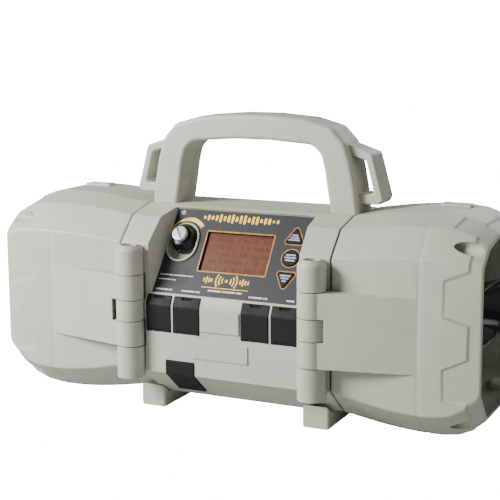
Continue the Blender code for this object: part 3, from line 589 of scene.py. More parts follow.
def merged(name, things):
    """Separate pieces kept as they are, in one object."""
    shape = bmesh.new()
    for thing in things:
        shape.from_mesh(thing.data)
        bpy.data.objects.remove(thing, do_unlink=True)
    return add_mesh(name, shape)


def weigh_normals(thing):
    thing.modifiers.new("weighted_normals", "WEIGHTED_NORMAL").keep_sharp = True


def dressed(thing, body, slot, replaces=(), material=None, sharp=SMOOTH_ANGLE):
    """Gives a new piece its finish, smooth shading and body."""
    thing.data.materials.clear()
    thing.data.materials.append(MATERIALS[material or slot])
    thing.data.shade_smooth()
    thing.data.set_sharp_from_angle(angle=math.radians(sharp))
    weigh_normals(thing)
    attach(thing, body)
    if replaces:
        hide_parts(*replaces)


# ---- CAD nodes that stay

def geometry_group(name, *kinds):
    """A modifier's nodes, of these kinds, through which the geometry passes in turn."""
    group = bpy.data.node_groups.new(name, "GeometryNodeTree")
    for way in ("INPUT", "OUTPUT"):
        group.interface.new_socket("Geometry", in_out=way, socket_type="NodeSocketGeometry")
    chain = [group.nodes.new(kind) for kind in ("NodeGroupInput", *kinds, "NodeGroupOutput")]
    for before, after in zip(chain, chain[1:]):
        group.links.new(before.outputs[0], after.inputs[0])
    return group, chain[1:-1]


def clean_group():
    """Drops an imported mesh's own normals and merges its doubled vertices."""
    group, (plain, merge) = geometry_group("clean_import", "GeometryNodeRemoveAttribute",
                                           "GeometryNodeMergeByDistance")
    plain.inputs["Name"].default_value = "custom_normal"
    merge.inputs["Distance"].default_value = MERGE_DISTANCE
    return group


def smooth_group():
    """Shades a mesh smooth, apart from its sharper edges."""
    group, (smooth, sharp) = geometry_group("smooth_by_angle", *["GeometryNodeSetShadeSmooth"] * 2)
    smooth.domain, sharp.domain = "FACE", "EDGE"
    smooth.inputs["Shade Smooth"].default_value = True
    sharp.inputs["Shade Smooth"].default_value = False
    angle = group.nodes.new("GeometryNodeInputMeshEdgeAngle")
    over = group.nodes.new("FunctionNodeCompare")
    over.data_type, over.operation = "FLOAT", "GREATER_THAN"
    over.inputs["B"].default_value = math.radians(SMOOTH_ANGLE)
    group.links.new(angle.outputs["Unsigned Angle"], over.inputs["A"])
    group.links.new(over.outputs["Result"], sharp.inputs["Selection"])
    return group


CLEAN, SMOOTH = clean_group(), smooth_group()

# CAD nodes that stay: their finish, how far their edges are rounded, and their names. There is a left and a
# right one of each name that ends in an underscore.
KEPT = (
    ("sage_shell", 1.1, "housing_front housing_rear"), ("sage_shell", 2.0, "foot_"),
    ("sage_shell", 0.3, "knob_well"), ("sage_shell", 0.4, "battery_door"), ("panel_film", 0, "control_panel"),
    ("circuit_board", 0, "control_board amplifier_board"), ("battery_wrap", 0, "battery_pack"),
    ("satin_metal", 0.3, "heat_sink receiver_module volume_pot horn_driver_"),
    ("black_rubber", 0.3, "key_mat door_slider"), ("black_rubber", 0.4, "up_key select_key down_key"),
    ("black_rubber", 0.6, "power_cover"), ("dark_plastic", 0, "lcd_module"),
    ("dark_plastic", 0.2, "charge_jack speaker_jack_ usb_port power_socket latch_keeper_"),
    ("dark_plastic", 0.3, "end_plate_"), ("dark_plastic", 0.4, "battery_tray latch_base_ horn_baffle_"),
    ("dark_plastic", 0.6, "latch_lever_"), ("black_gloss", 0, "horn_plug_"), ("black_gloss", 0.2, "tweeter_"),
    ("steel", 0.2, "hinge_pin_"),
)


def soften(thing, width):
    """Rounds a CAD node's sharp edges and shades it smooth, in modifiers only."""
    clean = thing.modifiers.new("clean", "NODES")
    clean.node_group = CLEAN
    flat = thing.modifiers.new("flat", "DECIMATE")
    flat.decimate_type, flat.angle_limit = "DISSOLVE", math.radians(FLAT_ANGLE)
    if width:
        edges = thing.modifiers.new("edges", "BEVEL")
        edges.width, edges.segments = width * MM, 3
        edges.limit_method, edges.angle_limit = "ANGLE", math.radians(EDGE_ANGLE)
    smooth = thing.modifiers.new("smooth", "NODES")
    smooth.node_group = SMOOTH
    weigh_normals(thing)


def finish_kept_nodes():
    for slot, width, names in KEPT:
        for name in names.split():
            for node in [name + side for side, _ in SIDES] if name.endswith("_") else [name]:
                thing = NODES[node]
                thing.data.materials.clear()
                thing.data.materials.append(MATERIALS[slot])
                soften(thing, width)


# ---- pods

# The raised skin of a pod ends in teeth short of the rim: share of the facet's length, X of the edge, and
# whether the notch between two teeth lies ahead of the point (1) or behind it (-1).
TOOTH_OUT, TOOTH_IN = 191.0, 173.2
SIDE_TEETH = ((0.004, TOOTH_OUT, 1), (0.084, TOOTH_IN, 1), (0.310, TOOTH_IN, -1), (0.345, TOOTH_OUT, -1),
              (0.583, TOOTH_OUT, 1), (0.645, TOOTH_IN, 1), (0.893, TOOTH_IN, -1), (0.985, TOOTH_OUT, -1))
SLOPE_TEETH = ((0.02, TOOTH_OUT, 1), (0.09, TOOTH_IN, 1), (0.91, TOOTH_IN + 3, -1), (0.98, TOOTH_OUT, -1))
PLAIN = ((0.33, TOOTH_OUT, 0), (0.67, TOOTH_OUT, 0))
# Facets from the lower front slope up over the crown, the same down the rear, then the bottom.
FACETS = (PLAIN, SIDE_TEETH, PLAIN, SLOPE_TEETH, PLAIN)
ALL_FACETS = FACETS + tuple(tuple((1 - share, x, -ahead) for share, x, ahead in reversed(teeth))
                            for teeth in FACETS[3::-1]) + (PLAIN,)
ARC_STEPS = 5
STEP_DEPTH, STEP_RUN, STEP_SPREAD = 0.95, 1.8, 0.015
# The side faces' indices, how far they bow out at mid height, and over what length the bow grows.
SIDE_FACETS, BOW, BOW_RUN = (1, 7), 1.3, 30.0

# The outer skin from the seam to the teeth: X, and how far the skin lies inside the full outline.
SKIN_ROWS = ((89.4, 1.0), (89.7, 0.45), (90.3, 0.1), (91.2, 0.0), (99.0, 0.0), (108.0, 0.0), (117.0, 0.0),
             (126.0, 0.0), (134.0, 0.0), (142.0, 0.0), (149.0, 0.0), (154.6, 0.0), (155.3, 0.35),
             (156.4, 0.35), (157.1, 0.0), (161.0, 0.0), (165.0, 0.12), (168.5, 0.12))
# Beyond the teeth, up to the lip: share of the way from the teeth to RIM_TURN, and inset.
RIM_TURN = 199.4
BAND_ROWS = ((0.25, 0.95), (0.5, 0.85), (0.75, 0.7), (1.0, 0.5))
LIP_ROWS = ((200.4, 0.5), (201.0, 0.8), (POD_RIM, 1.3))
# The cavity: X of its rings from the floor to the rim.
CAVITY = (SEAM_POD + POD_FLOOR, 100.0, 112.0, 124.0, 135.0, 146.0, POD_FULL, 168.0, 177.0, 185.0, 192.0,
          198.0)

# Screw scoops: radius, where they start and end, how deep their axis lies, how it rises towards the rim, and
# the tip's share of the radius with the length over which it widens. A boss surrounds each scoop.
SCOOP_R, SCOOP_START, SCOOP_END, SCOOP_LIFT, SCOOP_RISE = 6.4, 179.0, 215.0, -4.6, 0.27
SCOOP_TIP, SCOOP_TAPER, TIP_STEPS = 0.62, 14.0, 8
BOSS_WALL, BOSS_END = 2.2, 199.0
SCREW_SEAT = SCOOP_START - SCOOP_R * SCOOP_TIP * 0.8
SCREW_R, FLAT_HEAD = 2.6, 0.62

# The hinge leaf from above: (x, y) along its front face, then back to the knuckle.
LEAF = ((82.0, -83.5), (158.0, -68.0), (162.0, -66.9), (162.0, -66.2), (SEAM_POD + 0.1, -66.2),
        (SEAM_POD + 0.1, -69.2), (80.0, -70.5), (HINGE_X, HINGE_Y))


def pod_corners(x):
    """A pod's corners at x: it swells from the seam, then draws in to the rim."""
    if x <= POD_FULL:
        first, last = SEAM_CORNERS, FULL_CORNERS
        share = math.sin(math.pi / 2 * (x - SEAM_POD) / (POD_FULL - SEAM_POD))
    else:
        first, last = FULL_CORNERS, RIM_CORNERS
        share = ((x - POD_FULL) / (POD_RIM - POD_FULL)) ** 3
    return [tuple(Vector(a).lerp(Vector(b), share)) for a, b in zip(first, last)]


def whole_section(corners):
    """A closed side outline, (y, z), from its front half's corners."""
    front = [(MID_Y - half, z) for half, z in corners]
    rear = [(MID_Y + half, z) for half, z in reversed(corners)]
    return front + rear


def pod_radius(x):
    """The radius of the pod's lengthwise edges, which grows towards the rim."""
    return 3.0 + 6.0 * max(0.0, (x - POD_FULL) / (POD_RIM - POD_FULL)) ** 3


def skin_teeth():
    """For each point round a section, the X at which the raised skin ends there."""
    found = []
    for teeth in ALL_FACETS:
        found += [TOOTH_OUT] * (ARC_STEPS + 1) + [x for _, x, _ in teeth]
    return found


@functools.lru_cache(maxsize=None)
def skin_section(x, inset, spread):
    """All the points (y, z) round a pod at x: each corner's arc, then the points of the facet after it."""
    corners = offset(whole_section(pod_corners(x)), inset)
    arcs = rounded(corners, pod_radius(x), ARC_STEPS)
    bow = BOW * max(0.0, min(1.0, (x - SEAM_POD) / BOW_RUN)) * max(0.0, min(1.0, (POD_RIM - x) / BOW_RUN))
    found = []
    for index, teeth in enumerate(ALL_FACETS):
        arc = arcs[index * (ARC_STEPS + 1):(index + 1) * (ARC_STEPS + 1)]
        start, end = Vector(arc[-1]), Vector(arcs[(index + 1) * (ARC_STEPS + 1) % len(arcs)])
        found += arc
        for share, _, ahead in teeth:
            point = start.lerp(end, share + ahead * spread)
            if index in SIDE_FACETS:
                point.x += math.copysign(bow * math.sin(math.pi * share), point.x - MID_Y)
            found.append(tuple(point))
    return found


def skin_ring(side, stations, spread=0.0):
    """A ring of the skin whose points lie at their own (x, inset)."""
    ring = []
    for index, (x, inset) in enumerate(stations):
        y, z = skin_section(x, inset, spread)[index]
        ring.append((side * x, y, z))
    return ring


def outer_rings(side):
    teeth = skin_teeth()
    rings = [skin_ring(side, [row] * len(teeth)) for row in SKIN_ROWS]
    last_x, last_inset = SKIN_ROWS[-1]
    rings.append(skin_ring(side, [((last_x + edge) / 2, last_inset / 2) for edge in teeth]))
    for share in (0.0, 0.12, 0.88, 1.0):
        depth = STEP_DEPTH * max(0.0, (share - 0.06) / 0.94) if share < 1.0 else STEP_DEPTH
        stations = [(edge + STEP_RUN * share, depth) for edge in teeth]
        rings.append(skin_ring(side, stations, STEP_SPREAD * share))
    for share, inset in BAND_ROWS:
        rings.append(skin_ring(side, [(edge + STEP_RUN + share * (RIM_TURN - edge - STEP_RUN), inset)
                                      for edge in teeth], STEP_SPREAD))
    rings += [skin_ring(side, [row] * len(teeth)) for row in LIP_ROWS]
    return rings


def inner_rings(side):
    """The cavity, from the floor at the seam end out past the rim."""
    count = len(skin_teeth())
    rings = [skin_ring(side, [(x, POD_WALL)] * count) for x in CAVITY]
    rings.append(skin_ring(side, [(POD_RIM - 0.6, 2.9)] * count))
    past_rim = [(side * (POD_RIM + 4), y, z) for _, y, z in skin_ring(side, [(POD_RIM, 2.4)] * count)]
    return rings + [past_rim]


def scoop_places():
    """The middle of each of a pod's four screw scoops, (y, z), with the direction out of the facet."""
    corners = pod_corners(POD_FULL)
    found = []
    for low, high in ((0, 1), (2, 3)):
        half = (corners[low][0] + corners[high][0]) / 2
        z = (corners[low][1] + corners[high][1]) / 2
        along = Vector(corners[high]) - Vector(corners[low])
        out = Vector((along.y, -along.x)).normalized()
        if out.x < 0:
            out = -out
        for front in (-1, 1):
            found.append((MID_Y + front * half, z, front * out.x, out.y))
    return found


def capsule(name, side, place, radius, end):
    """A bar with a round, narrower inboard end that follows a scoop's axis out to X = end."""
    y, z, out_y, out_z = place
    origin = Vector((side * SCOOP_START, y + out_y * SCOOP_LIFT, z + out_z * SCOOP_LIFT)) * MM
    axis = Vector((side, out_y * SCOOP_RISE, out_z * SCOOP_RISE))
    tip = radius * SCOOP_TIP
    bends = [math.pi / 2 * step / TIP_STEPS for step in range(TIP_STEPS + 1)]
    profile = [(tip * math.sin(bend), -tip * math.cos(bend)) for bend in bends]
    profile += [(radius, SCOOP_TAPER), (radius, end - SCOOP_START), (0, end - SCOOP_START)]
    turn = axis.to_track_quat("Z", "Y").to_matrix().to_4x4()
    return turned(name, profile, Matrix.Translation(origin) @ turn, 40)


def make_pod_case(name, side):
    """The pod's moulded shell: skin with its toothed step, screw scoops, hinge leaf and knuckles."""
    def hinge_rod(piece, radius, low, high, sides, bevel=0.0):
        ends = [(side * HINGE_X, HINGE_Y, z) for z in (low, high)]
        return rod(piece, radius, *ends, sides, bevel)

    places = scoop_places()
    case = loft(f"pod_case_{name}", outer_rings(side))
    cavity = loft("cavity", inner_rings(side))
    cavity = cut(cavity, *[capsule("boss", side, place, SCOOP_R + BOSS_WALL, BOSS_END) for place in places])
    case = cut(case, cavity)
    case = cut(case, *[capsule("scoop", side, place, SCOOP_R, SCOOP_END) for place in places])
    (low, notch_low), (notch_high, high) = POD_KNUCKLES
    knuckle = hinge_rod("knuckle", KNUCKLE_R, low, high, 72, 0.6)
    case = join(case, prism("leaf", [[(side * x, y) for x, y in LEAF]], low, high, "Z", 0.8), knuckle)
    case = cut(case, hinge_rod("leaf_notch", LEAF_CLEAR_R, notch_low, notch_high, 72),
               hinge_rod("pin_bore", PIN_BORE_R, *PIN_BORE_ENDS, 32))
    dressed(case, f"pod_{name}", "sage_shell", [f"pod_shell_{name}"])


def make_screw_mesh():
    """A pan-head screw with a cross recess, its head's underside at z = 0, along local Z."""
    profile = [(0, 0), (SCREW_R - 0.2, 0), (SCREW_R, 0.3), (SCREW_R, 1.0), (SCREW_R - 0.5, 1.7),
               (SCREW_R - 1.4, 2.1), (0, 2.25)]
    head = turned("screw", profile, Matrix.Identity(4), 40)
    blades = [box("blade", (-x, -y, 1.0), (x, y, 4.0)) for x, y in ((1.7, 0.33), (0.33, 1.7))]
    return cut(head, *blades)


def place_screw(name, template, matrix, degrees, body, height=FLAT_HEAD):
    """A copy of the screw, seated where the matrix says, turned, and with its head's height scaled."""
    mesh = template.data.copy()
    spin = Matrix.Rotation(math.radians(degrees), 4, "Z")
    mesh.transform(matrix @ Matrix.Scale(height, 4, (0, 0, 1)) @ spin)
    dressed(new_object(name, mesh), body, "steel", material="black_steel", sharp=25)


def facing_out(side, place):
    """A matrix whose local Z points out along X on this side."""
    return placed((0, side, 0), (0, 0, 1), (side, 0, 0), place)


def make_pod_screws(name, side, template):
    # The scoop screws are black steel; their black also serves as painted shade at the inboard end of each
    # scoop.
    for index, (y, z, out_y, out_z) in enumerate(scoop_places()):
        matrix = facing_out(side, (side * SCREW_SEAT, y + out_y * SCOOP_LIFT, z + out_z * SCOOP_LIFT))
        place_screw(f"pod_screw_{name}_{index + 1}", template, matrix, 25 + 50 * index, f"pod_{name}", 1.0)


# ---- horns

HORN_SIDES, HORN_STEPS = 96, 22
HORN_Z = 89.0
HORN_HALF_DEPTH, HORN_HALF_HEIGHT, HORN_THROAT_R = 46.0, 23.5, 14.5
HORN_THROAT_X, HORN_MOUTH_X = 127.8, 189.0
HORN_WALL = 2.6


def horn_ring(side, share, inwards, x=None):
    """A ring of the horn: round at the throat, squarer as it widens."""
    half_depth = HORN_THROAT_R + (HORN_HALF_DEPTH - HORN_THROAT_R) * share ** 2 - inwards
    half_height = HORN_THROAT_R + (HORN_HALF_HEIGHT - HORN_THROAT_R) * share ** 1.3 - inwards
    power = 1.0 - 0.45 * max(0.0, (half_depth - half_height) / (HORN_HALF_DEPTH - HORN_HALF_HEIGHT))
    if x is None:
        x = HORN_THROAT_X + share * (HORN_MOUTH_X - HORN_THROAT_X)
    ring = []
    for step in range(HORN_SIDES):
        turn = 2 * math.pi * (step + 0.5) / HORN_SIDES
        across, up = math.cos(turn), math.sin(turn)
        ring.append((side * x, MID_Y + half_depth * math.copysign(abs(across) ** power, across),
                     HORN_Z + half_height * math.copysign(abs(up) ** power, up)))
    return ring


def make_horn(name, side):
    """The flared horn with a rolled lip."""
    shares = [step / HORN_STEPS for step in range(HORN_STEPS)] + [0.985]
    rings = [horn_ring(side, share, 0.0) for share in shares]
    for inwards, short in ((0.25, 0.4), (0.9, 0.0), (1.8, 0.0), (HORN_WALL, 0.6)):
        rings.append(horn_ring(side, 1.0, inwards, HORN_MOUTH_X - short))
    rings += [horn_ring(side, share, HORN_WALL) for share in reversed(shares[:-1])]
    horn = applied(loft(f"horn_bell_{name}", rings + rings[:1], closed_ends=False))
    dressed(horn, f"pod_{name}", "black_gloss", [f"horn_{name}"], sharp=50)


# The right pod's lug, its hollow's axis and radius, the gasket's two edges as inset from the skin and corner
# radius, and the ribs: Y from the middle, from and to Z, from and to X, and half their thickness.
LUG = ((146.0, 9.0, 164.0), (171.5, 20.5, 170.3))
LUG_HOLLOW, LUG_HOLLOW_R = ((151.0, 14.8, 171.6), (180.0, 14.8, 170.6)), 3.4
GASKET_EDGES = ((1.8, 2.4), (4.6, 1.6))
RIB_PLACES, RIB_HEIGHTS = (-22.0, 0.0, 22.0), ((118.0, 158.5), (12.0, 60.0))
RIB_X, RIB_HALF = (128.2, 150.0), 1.1


def make_crown_lug(name, side):
    """The raised lug near the rear of a pod's crown, hollowed towards the rim."""
    lug = box(f"crown_lug_{name}", *mirrored(side, *LUG), 2.4)
    hollow = rod("hollow", LUG_HOLLOW_R, *((side * x, y, z) for x, y, z in LUG_HOLLOW), 40, 1.2)
    lug = bevelled(cut(lug, hollow), 0.4, 2, 50)
    dressed(lug, f"pod_{name}", "sage_shell")


def make_gasket(name, side):
    """The rubber ring round a pod's inner end, which closes the seam to the housing."""
    section = whole_section(pod_corners(SEAM_POD))
    rings = [rounded(offset(section, inset), radius) for inset, radius in GASKET_EDGES]
    ends = sorted((side * (SEAM_HOUSING + 0.1), side * (SEAM_POD + 0.2)))
    dressed(prism(f"pod_gasket_{name}", rings, *ends), f"pod_{name}", "black_rubber")


def make_pod_ribs(name, side):
    """Stiffening ribs between the pod's wall and the horn."""
    ribs = []
    for y in RIB_PLACES:
        for low_z, high_z in RIB_HEIGHTS:
            low, high = (RIB_X[0], MID_Y + y - RIB_HALF, low_z), (RIB_X[1], MID_Y + y + RIB_HALF, high_z)
            ribs.append(box("rib", *mirrored(side, low, high), 0.5))
    # The ribs take a darker copy of the sage plastic: painted shade inside the pod.
    dressed(merged(f"pod_ribs_{name}", ribs), f"pod_{name}", "sage_shell", material="sage_painted_shade")


def mirrored(side, low, high):
    """A box's two corners on the right, mirrored to the left where side is -1."""
    if side > 0:
        return low, high
    return (-high[0], low[1], low[2]), (-low[0], high[1], high[2])


# ---- control panel

INK_LOW, INK_TOP = FILM_H - 0.1, FILM_H + 0.08
# The volume knob: (radius, height) of its skirt and its cap, the skirt's flutes, and the pointer's direction.
SKIRT = ((0, 6.3), (5.9, 6.3), (6.5, 6.1), (8.2, 5.5), (8.7, 4.8), (9.3, 1.5), (9.8, -0.8), (10.2, -1.5),
         (11.0, -1.9), (11.3, -2.4), (11.3, -4.9), (11.0, -5.2), (3.4, -5.2), (3.4, 3.4), (0, 3.4))
CAP = ((0, 9.8), (5.5, 9.8), (5.9, 9.65), (6.15, 9.3), (6.2, 8.9), (6.2, 6.4), (0, 6.4))
FLUTES, FLUTE_DEPTH, FLUTED_POINTS = 18, 0.045, range(3, 8)
POINTER = (-0.56, 0.83)
KEY_SHAPES = {
    "up_key": [(KEY_X - 7.6, 49.6), (KEY_X + 7.6, 49.6), (KEY_X, 63.6)],
    "select_key": circle(KEY_X + 0.4, 37.4, 6.6, 48),
    "down_key": [(KEY_X - 7.6, 25.4), (KEY_X, 11.6), (KEY_X + 7.6, 25.4)],
}
# Bars printed on the keys, (from, to, s).
KEY_BARS = {
    "up_key": ((-4.6, 4.6, 51.6), (-3.7, 3.7, 53.6), (-2.6, 2.6, 55.6)),
    "select_key": ((-3.6, 4.4, 34.6), (-4.4, 5.2, 36.8), (-3.6, 4.4, 39.0)),
    "down_key": ((-2.0, 2.0, 17.4), (-3.2, 3.2, 19.6), (-4.4, 4.4, 21.8)),
}
# Printed dashes that stand for the words of a label: where a line starts, ends and sits, and its height.
LABELS = ((-59.0, -30.0, 15.4, 1.0), (-59.0, -44.0, 11.4, 1.0), (-59.2, -44.6, 2.9, 1.3),
          (-36.3, -20.2, 2.9, 1.3), (21.4, 37.6, 2.9, 1.3), (52.6, 59.0, 2.9, 1.3), (-14.0, 15.0, 5.1, 1.5))
SWITCH_SIGN, SCALE_R = (-54.0, 69.8), 15.4


def dashes(start, end, middle, height):
    """A line of short dashes of uneven lengths."""
    found, x, index = [], start, 0
    while x < end - 0.6:
        length = min(1.1 + 0.9 * ((index * 5) % 4), end - x)
        found.append(rectangle((x, middle - height / 2), (x + length, middle + height / 2)))
        x += length + (0.9 if index % 4 == 3 else 0.45)
        index += 1
    return found


def sound_wave(start, end, middle, tallest, count):
    """Upright bars that swell and fade like a sound."""
    found = []
    pitch = (end - start) / count
    for index in range(count):
        share = (index + 0.5) / count
        swell = 0.35 + 0.65 * math.sin(math.pi * share) ** 0.7
        beat = 0.42 + 0.58 * abs(math.sin(index * 1.07 + 0.6))
        half = tallest / 2 * swell * beat
        x = start + pitch * index
        found.append(rectangle((x, middle - half), (x + pitch * 0.62, middle + half), pitch * 0.3, 3))
    return found


def key_band(outline, inner, outer):
    """The printed line round a key, between two distances outside its outline."""
    if len(outline) > 3:
        return [offset(outline, -outer), offset(outline, -inner)]
    return [rounded(offset(outline, -distance), 1.2 + distance, 5) for distance in (outer, inner)]


def broadcast_mark(x, s):
    """A dot between arcs that spread to both sides."""
    found = [circle(x, s, 1.3, 24)]
    for reach in (3.2, 5.8, 8.4):
        for middle in (0, 180):
            found.append(arc_band((x, s), reach, reach + 1.2, middle - 34, middle + 34, 10))
    return found


def scale_edge(share):
    """The outer radius of the knob's scale, which swells from its start."""
    return SCALE_R + 0.2 + 3.3 * min(1.0, share * 1.5) ** 0.8


def make_panel_print():
    """The film's printing: the display's frame, the knob's swelling scale, the keys' rings, marks, dashes."""
    rings = [rectangle((-28.5, 20.0), (30.8, 55.8), 1.0, 4), rectangle((-27.4, 21.1), (29.7, 54.7), 0.4, 3)]
    for outline in KEY_SHAPES.values():
        rings += key_band(outline, 0.5, 1.3)
    scale = arc_band((KNOB_X, KNOB_S), SCALE_R, scale_edge, 146, 40, 30)
    gold = [scale] + sound_wave(-35.0, 32.0, 66.7, 8.4, 19)
    gold += broadcast_mark(-0.5, 14.0) + [rectangle((-20.5, 7.4), (19.5, 8.0))]
    gold += sound_wave(-20.5, -11.6, 14.0, 6.4, 4) + sound_wave(10.6, 19.5, 14.0, 6.4, 4)
    white = []
    for label in LABELS:
        white += dashes(*label)
    x, s = SWITCH_SIGN
    white.append(arc_band(SWITCH_SIGN, 1.2, 1.75, 125, 415, 20))
    white.append(rectangle((x - 0.25, s + 0.1), (x + 0.25, s + 1.9)))
    for name, outlines, ink in (("rings", rings, "bronze_ink"), ("gold", gold, "gold_ink"),
                                ("white", white, "white_ink")):
        printed = prism(f"panel_print_{name}", outlines, INK_LOW, INK_TOP, "panel")
        dressed(printed, "housing", "panel_film", material=ink)


def make_key_prints():
    """Bars printed on the keys, which move with them."""
    for key, lines in KEY_BARS.items():
        shapes = [rectangle((KEY_X + low, s), (KEY_X + high, s + 1.3), 0.4, 3) for low, high, s in lines]
        printed = prism(f"{key}_print", shapes, 0.3, 0.56, "panel")
        dressed(printed, key, "black_rubber", material="blue_ink")


def make_display():
    """The screen at the bottom of the film's window."""
    low = (LCD_LOW[0] - 0.1, LCD_LOW[1] - 0.1, LCD_BACK_H)
    high = (LCD_HIGH[0] + 0.1, LCD_HIGH[1] + 0.1, LCD_FACE_H)
    dressed(box("display_face", low, high, 0.1, "panel"), "housing", "display_glass", ["lcd_window"])


def fluted(turn, index):
    """The share of the skirt's radius at an angle."""
    return 1.0 - (FLUTE_DEPTH * max(0.0, math.cos(turn * FLUTES)) ** 2 if index in FLUTED_POINTS else 0.0)


def make_volume_knob():
    """A fluted knob with a painted cap and a pointer line right across it."""
    matrix = panel_frame(KNOB_X, KNOB_S, 0)
    knob = turned("knob_skirt", SKIRT, matrix, 216, fluted)
    dressed(knob, "volume_control", "dark_plastic", ["volume_knob"], material="black_gloss")
    across = matrix @ Matrix.Rotation(math.atan2(-POINTER[0], POINTER[1]), 4, "Z")
    slot = box("pointer_slot", (-0.55, -5.0, 9.3), (0.55, 7.0, 12.0))
    slot.data.transform(across)
    cap = cut(turned("knob_face", CAP, matrix, 96), slot)
    dressed(cap, "volume_control", "satin_metal", ["knob_cap"], material="blue_paint")
    line = box("knob_pointer", (-0.5, -4.9, 9.0), (0.5, 6.1, 9.45), 0.05)
    line.data.transform(across)
    dressed(line, "volume_control", "dark_plastic")


# ---- rubber covers

# The covers' section, (y, z): down the front, then back up inside, with the radius of each corner.
COVER_FRONT, COVER_LOW, COVER_BEND, COVER_TOP = -72.8, 68.5, 89.4, (-69.4, 96.6)
COVER_BACK = COVER_FRONT + 3.0
COVER_SECTION = rounded([(COVER_FRONT, COVER_LOW), (COVER_FRONT, COVER_BEND), COVER_TOP,
                         (COVER_TOP[0] + 3.0, COVER_TOP[1]), (COVER_BACK, COVER_BEND - 1.2),
                         (COVER_BACK, COVER_LOW)], (0.3, 3.5, 0.6, 0.3, 1.5, 0.3), 5)
NOTCH_HALF, THUMB_HALF = 4.6, 7.0


def make_port_covers():
    """Moulded flaps that bend over the block's upper edge, each with a finger notch in its top."""
    for name in ("outer_left", "inner_left", "inner_right", "outer_right"):
        low, high = box_mm(f"port_cover_{name}")
        x = (low.x + high.x) / 2
        cover = prism(f"port_flap_{name}", [COVER_SECTION], low.x, high.x)
        notch = rectangle((x - NOTCH_HALF, 94.6), (x + NOTCH_HALF, 99.0), 0.8, 3)
        notch = prism("notch", [notch], COVER_TOP[0] - 5.0, COVER_TOP[0] + 0.7, "Y")
        thumb = box("thumb", (x - THUMB_HALF, COVER_FRONT - 1.0, COVER_LOW - 1.0),
                    (x + THUMB_HALF, COVER_FRONT + 0.45, COVER_LOW + 2.2))
        cover = bevelled(cut(cover, notch, thumb), 0.4, 3, 40)
        dressed(cover, f"port_cover_{name}", "black_rubber", [f"port_cover_{name}"])


# ---- handle

HANDLE_LOW, HANDLE_HIGH = box_mm("handle_front")[0].y, box_mm("handle_rear")[1].y
# The foot reaches a little into the housing's top, so that its rounded edges don't show a gap.
FOOT_Z = 158.6
ARCH_OUTSIDE = ((89.9, FOOT_Z), (87.2, 180.5), (83.8, 198.2), (78.6, 214.6), (67.5, 226.4), (45.5, 232.4),
                (15.0, 234.8))
ARCH_INSIDE = ((67.3, FOOT_Z), (63.6, 179.6), (61.8, 192.6), (58.6, 205.5), (51.5, 212.4), (15.0, 215.0))
ARCH_R, HANDLE_RIM_R, SEAM_DEPTH = 11.0, 3.6, 0.35
LOOP_HALF_DEPTH, LOOP_RIM_R = 12.0, 1.7
LOOP = ((77.5, 213.9), (98.0, 207.1), (107.4, 172.4), (104.2, 168.2), (85.5, 168.2), (83.8, 175.6),
        (99.6, 176.6), (93.0, 201.6), (78.5, 206.0))
LOOP_RADII = (0, 4.5, 3.5, 2.0, 0, 0, 2.2, 2.2, 0)


def make_handle():
    """The carry handle in one skin, with a fine seam between its halves and a strap loop each side."""
    outside = list(ARCH_OUTSIDE) + [(-x, z) for x, z in reversed(ARCH_OUTSIDE)]
    inside = list(ARCH_INSIDE) + [(-x, z) for x, z in reversed(ARCH_INSIDE)]
    corners = outside + inside[::-1]
    outline = rounded(corners, [0 if z == FOOT_Z else ARCH_R for _, z in corners], 8)
    arch = rounded_slab("carry_handle", outline, HANDLE_LOW, HANDLE_HIGH, HANDLE_RIM_R)
    loops = []
    for _, side in SIDES:
        shape = [(side * x, z) for x, z in rounded(list(LOOP), LOOP_RADII, 5)]
        ends = MID_Y - LOOP_HALF_DEPTH, MID_Y + LOOP_HALF_DEPTH
        loops.append(rounded_slab("strap_loop", shape, *ends, LOOP_RIM_R))
    arch = join(arch, *loops)
    seam = prism("seam", [offset(outline, -1.0), offset(outline, SEAM_DEPTH)], MID_Y - 0.2, MID_Y + 0.2, "Y")
    dressed(cut(arch, seam), "housing", "sage_shell", ["handle_front", "handle_rear"])


# ---- hinges

def make_hinge_top(name, side):
    """A raised ring on the housing's upper knuckle and the pin's domed head inside it."""
    matrix = Matrix.Translation(Vector((side * HINGE_X, HINGE_Y, 0)) * MM)
    ring = ((5.6, 134.5), (5.6, 135.6), (6.0, 136.0), (7.0, 136.0), (7.9, 135.4), (8.3, 134.5), (5.6, 134.5))
    dressed(turned(f"hinge_ring_{name}", ring, matrix, 64), "housing", "sage_shell")
    dome = ((0, 136.1), (1.4, 135.95), (2.6, 135.4), (3.5, 134.6), (3.7, 133.8), (0, 133.8))
    dressed(turned(f"pin_dome_{name}", dome, matrix, 48), "housing", "steel")


# ---- rear of the housing

REAR_SCREWS = ((-76.0, 125.0), (76.0, 125.0), (-76.0, 47.0), (76.0, 47.0))
SCREW_RING = ((3.5, -0.3), (6.2, -0.3), (6.0, 0.9), (5.4, 1.5), (4.0, 1.5), (3.5, 1.1), (3.5, -0.3))
# The battery sign's terminal, minus and plus.
BATTERY_SIGN = (((15.6, 73.0), (17.4, 78.0)), ((5.0, 75.1), (11.0, 75.9)), ((-11.0, 75.1), (-5.0, 75.9)),
                ((7.6, 76.2), (8.4, 78.5)), ((7.6, 72.5), (8.4, 74.8)))


def raised(name, outlines, back, proud, bevel, body="battery_door", slot="sage_shell"):
    """Flat shapes, (x, z), that stand a little out of the rear face."""
    dressed(prism(name, outlines, back - 0.3, back + proud, "Y", bevel, 2), body, slot)


def bars(count, start, pitch, width, half):
    """Rounded bars, one above the other."""
    heights = [start + pitch * index for index in range(count)]
    return [rectangle((-half, z), (half, z + width), width * 0.45, 4) for z in heights]


